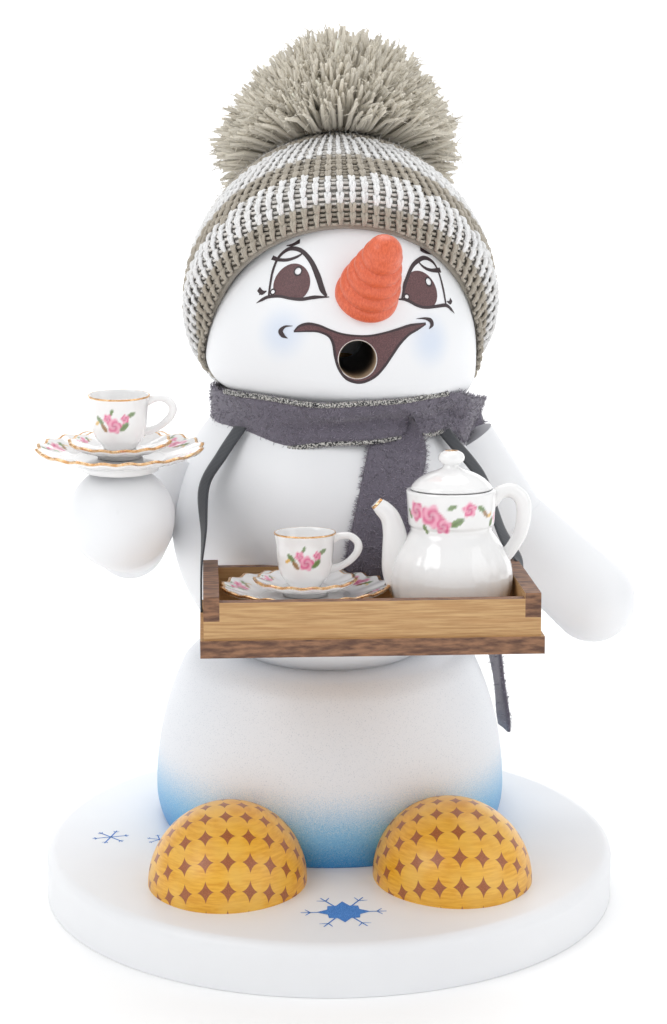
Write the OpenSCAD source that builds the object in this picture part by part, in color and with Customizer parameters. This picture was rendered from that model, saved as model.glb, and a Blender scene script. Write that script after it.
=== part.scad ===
// Turned wooden snowman incense smoker: a round base, a lower body that carries the cone,
// a hollow upper body that lifts off it, a head with a smoke hole, and a tray with a tea set.
// Origin: centre of the base's underside. +Z is up and the figure faces -Y.

/* [Base] */
// Radius of the base disc
base_r = 54; // [48:0.5:60]
// Thickness of the base disc
base_t = 9.5; // [8:0.5:12]
// Rounding of the base disc's top edge
base_edge = 2; // [1:0.5:3]
// How far the figure's axis stands behind the disc's centre
body_y = 15.5; // [13:0.5:18]
// How far the figure's axis stands to its own left of the disc's centre
body_x = 0.9; // [0:0.1:1.5]

/* [Lower body] */
// Largest radius of the lower body
lower_r = 34.1; // [33:0.1:35]
// Height of its widest place
lower_wide_z = 15.5; // [14:0.5:17]
// Radius of the rounding under the widest place
lower_under_r = 14.5; // [13:0.5:16]
// Radius of the long curve above the widest place
lower_side_r = 59; // [55:1:65]
// Rounding of the shoulder
lower_shoulder_r = 5; // [4:0.5:6]
// Height of the seam between the two body halves
seam_z = 43; // [42:0.5:44]
// Radius of the spigot that the upper body sits on
spigot_r = 13; // [12:0.5:14]
// Height of the spigot
spigot_h = 6; // [5:0.5:7]

/* [Upper body] */
// Radius of the ball
ball_r = 30.5; // [30:0.5:31]
// Height of the ball's centre
ball_z = 68.3; // [68:0.1:69]
// Height of the neck plane, where the head rests on the ball
neck_z = 93.5; // [93:0.5:94]
// Radius of the smoke chamber
chamber_r = 14; // [13:0.5:15]
// Play between the spigot and its socket, on the radius
socket_play = 0.05; // [0.03:0.01:0.1]

/* [Head] */
// Largest radius of the head
head_r = 25.7; // [25:0.1:26.4]
// Height of the head's widest place above the neck plane
head_wide_h = 6; // [5.5:0.5:6.5]
// Height of the head above its widest place
head_top_h = 34.5; // [33:0.5:36]
// Radius of the crown's curve
head_crown_r = 21; // [20:0.5:22]
// How far the head is glued off the ball's axis, to the figure's left
head_shift = 1.7; // [0:0.1:2]
// Turn of the head to the figure's left, in degrees
head_turn = 3; // [0:1:10]
// Lean of the head to the figure's left, in degrees
head_lean = 4; // [0:1:5]
// Radius of the smoke hole in the mouth
mouth_r = 3.4; // [3.2:0.1:3.6]
// Height of the smoke hole above the neck plane
mouth_h = 10.5; // [10:0.5:11]
// Height of the nose's seat above the neck plane
nose_h = 22; // [21:0.5:23]
// Length of the carrot nose
nose_len = 14; // [12:0.5:16]
// Radius of the carrot nose at its seat
nose_r = 5.5; // [5:0.1:6]

/* [Feet] */
// Half of a foot's width
foot_r = 14.5; // [13.5:0.1:15]
// Length of a foot in front of its widest place
foot_toe = 16; // [15.5:0.5:18]
// Length of a foot behind its widest place
foot_heel = 18; // [16.5:0.5:20]
// Distance of a foot from the middle
foot_x = 20.7; // [19:0.1:22]

/* [Tray] */
// Width of the tray
tray_w = 58.4; // [56:0.1:60]
// Depth of the tray
tray_d = 36.2; // [35:0.1:38]
// Thickness of the tray's boards
tray_t = 3; // [2.5:0.1:3.2]
// Height of the rails above the floor board
tray_rail_h = 6.4; // [5:0.1:8]
// Height of the tray's underside at its front edge
tray_z = 59.6; // [58:0.1:61]
// How much the tray's front is raised, in degrees
tray_tilt = 4; // [0:0.5:5]

/* [Tea set] */
// Radius of a plate
plate_r = 14.9; // [14:0.1:16]
// Radius of a saucer
saucer_r = 9.2; // [9:0.1:10]
// Radius of a cup's rim
cup_r = 5.4; // [5:0.1:5.6]
// Height of a cup
cup_h = 9.6; // [9:0.1:10]
// Largest radius of the teapot
pot_r = 10.9; // [10.5:0.1:11.3]
// Height of the teapot's body, without the lid
pot_h = 21.8; // [21:0.1:22.5]

/* [Hat and scarf] */
// Outer radius of the knitted hat
hat_r = 30.9; // [30.7:0.1:31.5]
// Thickness of the knitted fabric
hat_t = 2.6; // [2:0.1:2.6]
// Radius of the pompom
pompom_r = 22; // [20:0.5:23]
// Width of the scarf
scarf_w = 12; // [11:0.5:13]
// Thickness of the scarf where it lies in one layer
scarf_t = 1.2; // [1:0.1:1.4]
// Width of the tray's ribbon
strap_w = 3; // [2.5:0.1:3.5]

/* [Hidden] */
$fn = 96;
big = 200;
hair = 0.01;

white_paint = [0.95, 0.95, 0.94];
porcelain = [0.97, 0.96, 0.95];
amber = [0.87, 0.65, 0.18];
coral = [0.87, 0.39, 0.24];
light_wood = [0.78, 0.65, 0.43];
bare_wood = [0.8, 0.66, 0.46];
steel = [0.7, 0.7, 0.72];
scarf_grey = [0.43, 0.42, 0.45];
ribbon_grey = [0.24, 0.24, 0.26];
knit_taupe = [0.62, 0.59, 0.53];
yarn_taupe = [0.66, 0.63, 0.56];

// Body halves
spigot_top = seam_z + spigot_h;
air_r = 1.4;
air_y = body_y + 11.1;
dowel_r = 4;
dowel_z = [3, 23];
dish_r = 8.6;
dish_h = 2;
tack_r = 0.7;
chamber_z = [spigot_top + 0.2, 72, 84];
smoke_r = 3;
neck_r = 5;
neck_depth = 7;
head_flat_r = head_r - head_wide_h;
foot_y = -22.5;
foot_turn = 12;

// Arms: ends of the axes and radii, the figure's right arm first
right_arm = [[-29, 15, 82], [-37.5, 13, 66.5], [-38, -20, 77.6]];
right_arm_r = [6.6, 7.5, 9.5];
left_arm = [[26.5, 16, 83.5], [36, 15.5, 67], [51.6, 10.3, 53]];
left_arm_r = [6.4, 7.4, 8.2];
hand_flat_z = 86.2;
shoulder_dowel_r = 1.5;
shoulder_dowel_len = 10;
shoulder_z = 76;

// Nose
nose_dir = [0, 44, -76];
nose_x = 1.3;
nose_steps = 5;
nose_tip_r = 2.4;
nose_peg_r = 2.5;
nose_peg_len = 6;

// Tray
tray_x = 5;
tray_front_y = -48.5;
rail_t = 2.4;
rail_inset = 0.6;
end_rise = 1;
end_t = 2.7;
lap = 3.2;

// Tea set: where each pile stands, on the tray's floor board or on the hand
tray_pile = [-10.7, 18.45, tray_t];
pot_at = [14.9, 17.5, tray_t];
hand_pile = [right_arm[2][0], right_arm[2][1], hand_flat_z];
plate_well = 2.3;
plate_rim_h = 4.2;
saucer_well = 1.6;
saucer_rim_h = 3;
cup_wall = 0.7;
cup_foot_r = 3;
cup_turn = 2;
pot_collar_r = 7.75;
pot_mouth_r = 6.2;

// Hat, pompom and scarf
hat_at = [2.6, 17, 109.5];
hat_in_r = hat_r - hat_t;
face_turn = 33;
hat_top_h = 34.5;
hat_crown_r = 18;
crown_from = 15;
face_cut = 8.4;
pompom_at = [3, 30.5, 139.5];
scarf_at = [body_x + 0.8, body_y, 90];
scarf_lean = 6;
scarf_r = [19.6, 27];
scarf_h = 5.9;
tail_x = 10;
tail_gap = 0.4;
rear_tail_at = [[35, 25.6, 87.5], [33, 30.2, 80], [30, 32.4, 70], [27, 33.2, 60], [20, 37, 24.5]];

// A quarter of an oval, half width a and height b, with a tip of its own radius
module quarter_oval(a, b, tip) {
    side = (a * a + pow(b - tip, 2) - tip * tip) / (2 * (a - tip));
    join_y = (b - tip) * side / (side - tip);
    intersection() {
        translate([a - side, 0]) circle(side);
        square([a, join_y]);
    }
    intersection() {
        translate([0, b - tip]) circle(tip);
        translate([0, join_y - 1]) square([tip, b - join_y + 1]);
    }
}

// Things that belong to the head, placed from the middle of the neck plane
module on_neck() {
    translate([body_x + head_shift, body_y, neck_z]) rotate([0, head_lean, 0]) rotate([0, 0, head_turn]) children();
}

module on_axis() {
    translate([body_x, body_y, 0]) children();
}

module ball(extra = 0) {
    translate([body_x, body_y, ball_z]) sphere(ball_r + extra);
}

// Puts something that stands along +Z at a, along the line from a to b
module along(a, b) {
    d = b - a;
    translate(a) rotate([0, acos(d[2] / norm(d)), atan2(d[1], d[0])]) children();
}

module base_disc() {
    color(white_paint) difference() {
        rotate_extrude() {
            square([base_r, base_t - base_edge]);
            square([base_r - base_edge, base_t]);
            translate([base_r - base_edge, base_t - base_edge]) circle(base_edge);
        }
        on_axis() translate([0, 0, dowel_z[0]]) cylinder(r = dowel_r, h = base_t);
        translate([body_x, air_y, -1]) cylinder(r = air_r, h = base_t + 2);
    }
}

// Points on an arc round c, from one angle to another
function arc(c, r, from, to, steps) =
    [for (i = [0 : steps]) c + r * [cos(from + (to - from) * i / steps), sin(from + (to - from) * i / steps)]];

module lower_outline() {
    under_c = [lower_r - lower_under_r, lower_wide_z];
    side_c = [lower_r - lower_side_r, lower_wide_z];
    turn_z = seam_z - lower_shoulder_r;
    turn_at = asin((turn_z - lower_wide_z) / (lower_side_r - lower_shoulder_r));
    turn_c = [side_c[0] + (lower_side_r - lower_shoulder_r) * cos(turn_at), turn_z];
    polygon(concat(
        [[0, seam_z], [0, base_t]],
        arc(under_c, lower_under_r, asin((base_t - lower_wide_z) / lower_under_r), 0, 6),
        arc(side_c, lower_side_r, 2, turn_at, 12),
        arc(turn_c, lower_shoulder_r, turn_at + 8, 90, 8)));
}

module lower_body() {
    color(white_paint) on_axis() difference() {
        union() {
            rotate_extrude() lower_outline();
            translate([0, 0, seam_z - 1]) cylinder(r = spigot_r, h = spigot_h + 1);
        }
        translate([0, 0, -1]) cylinder(r = dowel_r, h = dowel_z[1] + 1);
        translate([0, air_y - body_y, -1]) cylinder(r = air_r, h = big);
        translate([0, 0, spigot_top - 5]) cylinder(r = tack_r, h = 6);
    }
}

module body_dowel() {
    color(bare_wood) on_axis() translate([0, 0, dowel_z[0]])
        cylinder(r = dowel_r, h = dowel_z[1] - dowel_z[0]);
}

// Half of a turned egg, lying on its cut face with the toe towards -Y
module half_egg() {
    intersection() {
        union() {
            rotate([90, 0, 0]) rotate_extrude() quarter_oval(foot_r, foot_toe, foot_r - 2);
            rotate([-90, 0, 0]) rotate_extrude() quarter_oval(foot_r, foot_heel, foot_r - 2.5);
        }
        translate([-big / 2, -big / 2, 0]) cube(big);
    }
}

module foot(side) {
    color(amber) difference() {
        translate([body_x + side * foot_x, foot_y, base_t]) rotate([0, 0, side * foot_turn]) half_egg();
        on_axis() rotate_extrude() lower_outline();
    }
}

module left_foot() {
    foot(1);
}

module right_foot() {
    foot(-1);
}

module burner_dish() {
    color(steel) on_axis() translate([0, 0, spigot_top]) difference() {
        cylinder(r1 = dish_r - 1, r2 = dish_r, h = dish_h);
        translate([0, 0, 0.5]) cylinder(r1 = dish_r - 1.5, r2 = dish_r - 0.4, h = dish_h - 0.5 + hair);
        translate([0, 0, -1]) cylinder(r = tack_r, h = 3);
    }
}

module dish_tack() {
    color(steel) on_axis() translate([0, 0, spigot_top - 5]) {
        cylinder(r = tack_r, h = 5.5);
        translate([0, 0, 5.5]) cylinder(r1 = 2, r2 = 1.2, h = 0.5);
    }
}

module shoulder_dowel(arm) {
    side = sign(arm[0][0]);
    reach = sqrt(pow(ball_r, 2) - pow(shoulder_z - ball_z, 2));
    translate([body_x + side * (reach - shoulder_dowel_len / 2), body_y, shoulder_z])
        rotate([0, side * 90, 0]) cylinder(r = shoulder_dowel_r, h = shoulder_dowel_len);
}

module upper_body() {
    socket_h = chamber_z[0] - seam_z;
    color(white_paint) difference() {
        ball();
        translate([-big / 2, -big / 2, seam_z - big]) cube(big);
        on_neck() translate([-big / 2, -big / 2, 0]) cube(big);
        on_axis() {
            translate([0, 0, seam_z - 1]) cylinder(r = spigot_r + socket_play, h = socket_h + 1);
            translate([0, 0, chamber_z[0] - hair]) cylinder(r = chamber_r, h = chamber_z[1] - chamber_z[0]);
            translate([0, 0, chamber_z[1] - 2 * hair])
                cylinder(r1 = chamber_r, r2 = smoke_r, h = chamber_z[2] - chamber_z[1]);
            translate([0, 0, chamber_z[2] - 1]) cylinder(r = smoke_r, h = 6);
        }
        on_neck() translate([0, 0, -neck_depth]) cylinder(r = neck_r, h = neck_depth + 1);
        shoulder_dowel(left_arm);
        shoulder_dowel(right_arm);
    }
}

module neck_tube() {
    color(bare_wood) on_neck() translate([0, 0, -neck_depth]) difference() {
        cylinder(r = neck_r, h = 2 * neck_depth);
        translate([0, 0, -1]) cylinder(r = smoke_r, h = 2 * neck_depth + 2);
    }
}

module head_shape() {
    translate([0, 0, head_wide_h]) rotate_extrude() quarter_oval(head_r, head_top_h, head_crown_r);
    rotate_extrude() {
        square([head_flat_r, head_wide_h + hair]);
        intersection() {
            translate([head_flat_r, head_wide_h]) circle(head_wide_h);
            translate([head_flat_r - 1, 0]) square([big, head_wide_h + hair]);
        }
    }
}

// Places the nose: seat on the face, then its direction
module on_nose() {
    on_neck() translate([nose_x, 4 - head_r, nose_h]) rotate(nose_dir) children();
}

module head() {
    color(white_paint) difference() {
        on_neck() difference() {
            head_shape();
            translate([0, 0, -1]) cylinder(r = neck_r, h = neck_depth + 1);
            cylinder(r = smoke_r, h = mouth_h);
            translate([0, 0, mouth_h]) rotate([90, 0, 0]) cylinder(r = mouth_r, h = big);
            translate([0, 0, mouth_h]) sphere(mouth_r);
        }
        on_nose() translate([0, 0, -nose_peg_len]) cylinder(r = nose_peg_r, h = nose_peg_len + 10);
    }
}

module nose() {
    step = nose_len / nose_steps;
    slope = (nose_r - nose_tip_r) / nose_steps;
    color(coral) {
        on_nose() translate([0, 0, -nose_peg_len]) cylinder(r = nose_peg_r, h = nose_peg_len + 5);
        difference() {
            on_nose() {
                for (i = [0 : nose_steps - 1])
                    translate([0, 0, i * step])
                        cylinder(r1 = nose_r - i * slope, r2 = nose_r - (i + 1) * slope - 0.3, h = step + hair);
                translate([0, 0, nose_len - 0.5]) sphere(nose_tip_r - 0.1);
            }
            on_neck() head_shape();
        }
    }
}

// Half space beyond the mitre plane of a bent arm
module mitre(arm, far) {
    u = (arm[1] - arm[0]) / norm(arm[1] - arm[0]);
    v = (arm[2] - arm[1]) / norm(arm[2] - arm[1]);
    w = far ? u + v : -u - v;
    along(arm[1], arm[1] + w) translate([-big / 2, -big / 2, 0]) cube(big);
}

module upper_arm(arm, radii) {
    length = norm(arm[1] - arm[0]);
    grow = (radii[1] - radii[0]) / length;
    color(white_paint) difference() {
        along(arm[0], arm[1])
            cylinder(r1 = radii[0], r2 = radii[1] + grow * 12, h = length + 12);
        mitre(arm, true);
        ball();
        shoulder_dowel(arm);
    }
}

module forearm(arm, radii) {
    length = norm(arm[2] - arm[1]);
    grow = (radii[2] - radii[1]) / length;
    color(white_paint) difference() {
        along(arm[1], arm[2]) rotate_extrude() {
            polygon([[0, -12], [radii[1] - grow * 12, -12], [radii[2], length], [0, length]]);
            intersection() {
                translate([0, length]) circle(radii[2]);
                translate([0, length - hair]) square(2 * radii[2]);
            }
        }
        mitre(arm, false);
        ball();
    }
}

module right_upper_arm() {
    upper_arm(right_arm, right_arm_r);
}

module right_forearm() {
    difference() {
        forearm(right_arm, right_arm_r);
        translate([hand_pile[0] - 20, hand_pile[1] - 20, hand_flat_z]) cube([40, 32, 20]);
    }
}

module left_upper_arm() {
    upper_arm(left_arm, left_arm_r);
}

module left_forearm() {
    forearm(left_arm, left_arm_r);
}

module shoulder_dowels() {
    color(bare_wood) {
        shoulder_dowel(left_arm);
        shoulder_dowel(right_arm);
    }
}

// Things on the tray, placed from the middle of its lower front edge
module on_tray() {
    translate([tray_x, tray_front_y, tray_z]) rotate([-tray_tilt, 0, 0]) children();
}

module tray_floor() {
    color(light_wood) difference() {
        on_tray() translate([-tray_w / 2, 0, 0]) cube([tray_w, tray_d, tray_t]);
        ball();
    }
}

// A rail between the tray's ends, its ends lapped over by the end strips
module tray_rail(y) {
    low_w = tray_w - 2 * rail_inset;
    on_tray() translate([-low_w / 2, y, tray_t]) {
        cube([low_w, rail_t, tray_rail_h - lap]);
        translate([end_t, 0, tray_rail_h - lap - hair]) cube([low_w - 2 * end_t, rail_t, lap + hair]);
    }
}

module tray_front_rail() {
    color(light_wood) tray_rail(rail_inset);
}

module tray_back_rail() {
    color(light_wood) difference() {
        tray_rail(tray_d - rail_t);
        ball();
    }
}

module tray_end(side) {
    run = tray_d - rail_inset;
    out_x = side * (tray_w / 2 - rail_inset);
    on_tray() translate([min(out_x, out_x - side * end_t), rail_inset, tray_t]) difference() {
        cube([end_t, run, tray_rail_h + end_rise]);
        translate([-1, -1, -1]) cube([end_t + 2, rail_t + 1, tray_rail_h - lap + 1]);
        translate([-1, run - rail_t, -1]) cube([end_t + 2, rail_t + 2, tray_rail_h - lap + 1]);
    }
}

module tray_ends() {
    color(light_wood) difference() {
        for (side = [-1, 1]) tray_end(side);
        ball();
    }
}

// One straight run of ribbon between two points, turned about the vertical
module ribbon(a, b, turn_a, turn_b) {
    hull() {
        translate(a) rotate([0, 0, turn_a]) cube([strap_w, 0.5, 0.5], center = true);
        translate(b) rotate([0, 0, turn_b]) cube([strap_w, 0.5, 0.5], center = true);
    }
}

module tray_strap() {
    left = tray_x - tray_w / 2 + rail_inset - 0.3;
    right = tray_x + tray_w / 2 - rail_inset + 0.3;
    color(ribbon_grey) difference() {
        union() {
            ribbon([-19.5, -4, 87], [-24.6, -6.6, 79], 130, 115);
            ribbon([-24.6, -6.6, 79], [left, -20, 68], 115, 90);
            ribbon([left, -20, 68], [left, -22, 61.6], 90, 90);
            ribbon([22, -2, 88], [28.6, -3.5, 79], 52, 62);
            ribbon([28.6, -3.5, 79], [right, -18, 68], 62, 90);
            ribbon([right, -18, 68], [right, -20, 61.4], 90, 90);
        }
        on_collar() translate([0, 0, -big / 2]) cylinder(r = scarf_r[1] + 0.1, h = big);
    }
}

// A plate or saucer standing on z = 0
module dish(r, rim_h, well_r, well_h, foot_r) {
    rotate_extrude() polygon([[0, well_h - 0.9], [foot_r - 0.8, well_h - 0.9], [foot_r - 0.6, 0],
        [foot_r, 0], [well_r, well_h - 0.9], [r, rim_h - 0.7], [r, rim_h], [well_r, well_h], [0, well_h]]);
}

// A cup standing on z = 0 with its handle towards +X
module cup() {
    ring_r = 1.9;
    difference() {
        union() {
            cylinder(r = cup_foot_r, h = 1);
            translate([0, 0, 0.9]) cylinder(r1 = cup_foot_r + 1, r2 = cup_r - 0.4, h = cup_h - 2.9);
            translate([0, 0, cup_h - 2 - hair]) cylinder(r1 = cup_r - 0.4, r2 = cup_r, h = 2 + hair);
            translate([cup_r + 0.9, 0, cup_h * 0.56]) rotate([90, 0, 0])
                rotate_extrude() translate([ring_r, 0]) circle(0.65, $fn = 24);
        }
        translate([0, 0, 1.4])
            cylinder(r1 = cup_foot_r + 1 - cup_wall, r2 = cup_r - cup_wall, h = cup_h - 1.4 + hair);
    }
}

module pile_plate(at) {
    translate(at) dish(plate_r, plate_rim_h, 8.6, plate_well, 6.8);
}

module pile_saucer(at) {
    translate(at + [0, 0, plate_well]) dish(saucer_r, saucer_rim_h, 4.6, saucer_well, 4);
}

module pile_cup(at) {
    translate(at + [0, 0, plate_well + saucer_well]) rotate([0, 0, cup_turn]) cup();
}

module tray_plate() {
    color(porcelain) on_tray() pile_plate(tray_pile);
}

module tray_saucer() {
    color(porcelain) on_tray() pile_saucer(tray_pile);
}

module tray_cup() {
    color(porcelain) on_tray() pile_cup(tray_pile);
}

module hand_plate() {
    color(porcelain) pile_plate(hand_pile);
}

module hand_saucer() {
    color(porcelain) pile_saucer(hand_pile);
}

module hand_cup() {
    color(porcelain) pile_cup(hand_pile);
}

// A round bar that follows points in the XZ plane
function bar_side(p, i) =
    let (a = p[max(i - 1, 0)], b = p[min(i + 1, len(p) - 1)], d = (b - a) / norm(b - a))
    [-d[1], d[0]];

module bar(p, r, sides = 16) {
    n = len(p);
    points = [for (i = [0 : n - 1], k = [0 : sides - 1])
        let (s = bar_side(p, i), a = 360 * k / sides, q = p[i] + r[i] * cos(a) * s)
        [q[0], r[i] * sin(a), q[1]]];
    faces = concat(
        [[for (k = [sides - 1 : -1 : 0]) k]],
        [for (i = [0 : n - 2], k = [0 : sides - 1])
            let (m = (k + 1) % sides, q = i * sides, w = q + sides)
            each [[q + k, q + m, w + m], [q + k, w + m, w + k]]],
        [[for (k = [0 : sides - 1]) (n - 1) * sides + k]]);
    polyhedron(points, faces, convexity = 4);
}

module pot_outline(wall) {
    r = pot_r - 8.2;
    translate([r, 7]) circle(8.2 - wall);
    translate([0, wall]) square([r, 10]);
    translate([0, wall]) square([7.5 - wall, 3]);
    polygon([[0, 8], [9.6 - wall, 11.5], [7 - wall, 15.6], [0, 15.6]]);
    polygon([[0, 15.4], [7 - wall, 15.4], [pot_collar_r - wall, 16.6],
        [pot_collar_r - wall, pot_h + wall], [0, pot_h + wall]]);
}

module teapot_body() {
    spout = [[-7, 6], [-9.8, 7.6], [-11, 10.4], [-11.2, 13.6], [-11.9, 16.4], [-13.4, 18.4]];
    spout_r = [3.2, 2.7, 2.3, 1.9, 1.5, 1.2];
    ear = [[6.6, 20.4], [9.6, 21.4], [12.2, 21.2], [13.5, 18.8], [13, 15.4], [11.4, 12.4], [9, 10]];
    ear_r = [0.9, 1, 1.1, 1.1, 1, 0.9, 0.9];
    color(porcelain) on_tray() translate(pot_at) difference() {
        union() {
            rotate_extrude() intersection() {
                pot_outline(0);
                square([big, pot_h]);
            }
            bar(spout, spout_r);
            bar(ear, ear_r);
        }
        rotate_extrude() intersection() {
            pot_outline(1.2);
            translate([0, 1.2]) square([pot_mouth_r + 3.6, big]);
        }
    }
}

module teapot_lid() {
    color(porcelain) on_tray() translate(pot_at + [0, 0, pot_h]) {
        translate([0, 0, -1.6]) cylinder(r = pot_mouth_r - 0.25, h = 1.7);
        intersection() {
            translate([0, 0, -3.6]) sphere(7.9);
            cylinder(r = 7.1, h = 10);
        }
        translate([0, 0, 4]) cylinder(r = 1, h = 2);
        translate([0, 0, 6]) sphere(1.7);
    }
}

module on_collar() {
    translate(scarf_at) rotate([scarf_lean, 0, 0]) children();
}

module collar() {
    on_collar() translate([0, 0, -scarf_h / 2]) difference() {
        cylinder(r = scarf_r[1], h = scarf_h);
        translate([0, 0, -1]) cylinder(r = scarf_r[0], h = scarf_h + 2);
    }
}

// One hanging end of the scarf: it follows the ball, then hangs straight
module scarf_tail(top_z, turn_z, low_z, width) {
    out_r = ball_r + tail_gap + scarf_t;
    intersection() {
        difference() {
            ball(tail_gap + scarf_t);
            ball(tail_gap);
        }
        translate([-width / 2, body_y - big, turn_z]) cube([width, big, top_z - turn_z]);
    }
    straight_y = body_y - sqrt(pow(out_r, 2) - pow(width / 2, 2));
    translate([-width / 2, straight_y - 1.6, low_z]) cube([width, scarf_t, turn_z - low_z + 1]);
}

// The end that hangs behind the left arm: a strip through stations [turn, radius, height]
module rear_tail() {
    for (i = [0 : len(rear_tail_at) - 2]) hull() for (at = [rear_tail_at[i], rear_tail_at[i + 1]])
        on_axis() rotate([0, 0, at[0]]) translate([at[1], 0, at[2]])
            cube([scarf_t, scarf_w, 0.6], center = true);
}

module scarf() {
    color(scarf_grey) {
        difference() {
            union() {
                collar();
                translate([tail_x, 0, 0]) scarf_tail(90, 69, 63.2, scarf_w);
            }
            ball(0.1);
            on_neck() translate([0, 0, -0.1]) head_shape();
        }
        difference() {
            rear_tail();
            ball(0.1);
        }
    }
}

// Half of the outline of the hat's gathered crown, on the axis of the pompom
module crown_outline(grow) {
    intersection() {
        quarter_oval(hat_r + grow, hat_top_h + grow, hat_crown_r + grow);
        translate([0, crown_from]) square(big);
    }
}

module hat() {
    color(knit_taupe) difference() {
        union() {
            translate(hat_at) rotate([face_turn, 0, 0]) rotate([-90, 0, 0]) rotate_extrude() intersection() {
                difference() {
                    circle(hat_r);
                    circle(hat_in_r);
                }
                translate([0, -face_cut]) square(big);
            }
            along(hat_at, pompom_at) rotate_extrude() difference() {
                crown_outline(0);
                circle(hat_in_r);
            }
        }
        on_collar() translate([-big / 2, -big / 2, scarf_h / 2 + 0.3 - big]) cube(big);
        along(hat_at, pompom_at) cylinder(r = 1.5, h = big);
        on_neck() head_shape();
    }
}

module pompom() {
    color(yarn_taupe) difference() {
        translate(pompom_at) sphere(pompom_r);
        translate(hat_at) sphere(hat_r + 0.1);
        along(hat_at, pompom_at) rotate_extrude() crown_outline(0.1);
        along(hat_at, pompom_at) cylinder(r = 1.5, h = norm(pompom_at - hat_at) + 2);
    }
}

module pompom_tie() {
    color(yarn_taupe) along(hat_at, pompom_at) {
        translate([0, 0, hat_in_r - 0.9]) cylinder(r = 1.4, h = norm(pompom_at - hat_at) - hat_in_r + 2);
        translate([0, 0, hat_in_r - 1.2]) cylinder(r = 3, h = 0.9);
    }
}

base_disc();
lower_body();
body_dowel();
left_foot();
right_foot();
burner_dish();
dish_tack();
upper_body();
neck_tube();
head();
nose();
right_upper_arm();
right_forearm();
left_upper_arm();
left_forearm();
shoulder_dowels();
tray_floor();
tray_front_rail();
tray_back_rail();
tray_ends();
tray_strap();
teapot_body();
teapot_lid();
tray_plate();
tray_saucer();
tray_cup();
hand_plate();
hand_saucer();
hand_cup();
scarf();
hat();
pompom();
pompom_tie();
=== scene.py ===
import math

import bmesh
import bpy
import numpy as np
from mathutils.geometry import delaunay_2d_cdt
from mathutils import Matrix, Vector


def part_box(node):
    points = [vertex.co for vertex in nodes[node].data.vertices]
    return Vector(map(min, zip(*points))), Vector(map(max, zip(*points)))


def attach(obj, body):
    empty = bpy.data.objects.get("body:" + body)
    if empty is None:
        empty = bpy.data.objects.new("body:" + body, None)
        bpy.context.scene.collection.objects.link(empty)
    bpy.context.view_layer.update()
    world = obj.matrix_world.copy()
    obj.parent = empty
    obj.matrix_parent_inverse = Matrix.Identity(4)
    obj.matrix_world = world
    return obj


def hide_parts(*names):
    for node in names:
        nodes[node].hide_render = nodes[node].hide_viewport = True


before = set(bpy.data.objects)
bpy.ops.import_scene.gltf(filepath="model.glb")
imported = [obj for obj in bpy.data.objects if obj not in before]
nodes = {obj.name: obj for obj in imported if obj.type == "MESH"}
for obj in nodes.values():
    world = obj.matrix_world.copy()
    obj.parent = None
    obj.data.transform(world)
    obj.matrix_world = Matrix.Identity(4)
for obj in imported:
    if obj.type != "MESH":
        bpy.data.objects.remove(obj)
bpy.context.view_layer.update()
rng = np.random.default_rng(5)
TAU = 2 * math.pi


# ---------------------------------------------------------------- geometry helpers, in millimetres
def unit(v):
    v = np.asarray(v, float)
    return v / np.maximum(np.linalg.norm(v, axis=-1, keepdims=True), 1e-9)


def turn(axis, degrees):
    a = math.radians(degrees)
    i, j = {"x": (1, 2), "y": (2, 0), "z": (0, 1)}[axis]
    m = np.eye(3)
    m[i, i] = m[j, j] = math.cos(a)
    m[i, j], m[j, i] = -math.sin(a), math.sin(a)
    return m


def box(node):
    lo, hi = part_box(node)
    return np.array(lo) * 1000, np.array(hi) * 1000


def smooth(x):
    x = np.clip(x, 0, 1)
    return x * x * (3 - 2 * x)


def curve(points, per=8, closed=False):
    """A smooth line through the points (Catmull-Rom)."""
    p = np.asarray(points, float)
    n = len(p)
    if closed:
        ext = np.concatenate([p[-1:], p, p[:2]])
        spans = n
    else:
        ext = np.concatenate([2 * p[:1] - p[1:2], p, 2 * p[-1:] - p[-2:-1]])
        spans = n - 1
    out = []
    for i in range(spans):
        a, b, c, d = ext[i:i + 4]
        for k in range(per):
            t = k / per
            out.append(0.5 * (2 * b + (c - a) * t + (2 * a - 5 * b + 4 * c - d) * t * t
                    + (3 * b - a - 3 * c + d) * t ** 3))
    if not closed:
        out.append(p[-1])
    return np.array(out)


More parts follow.
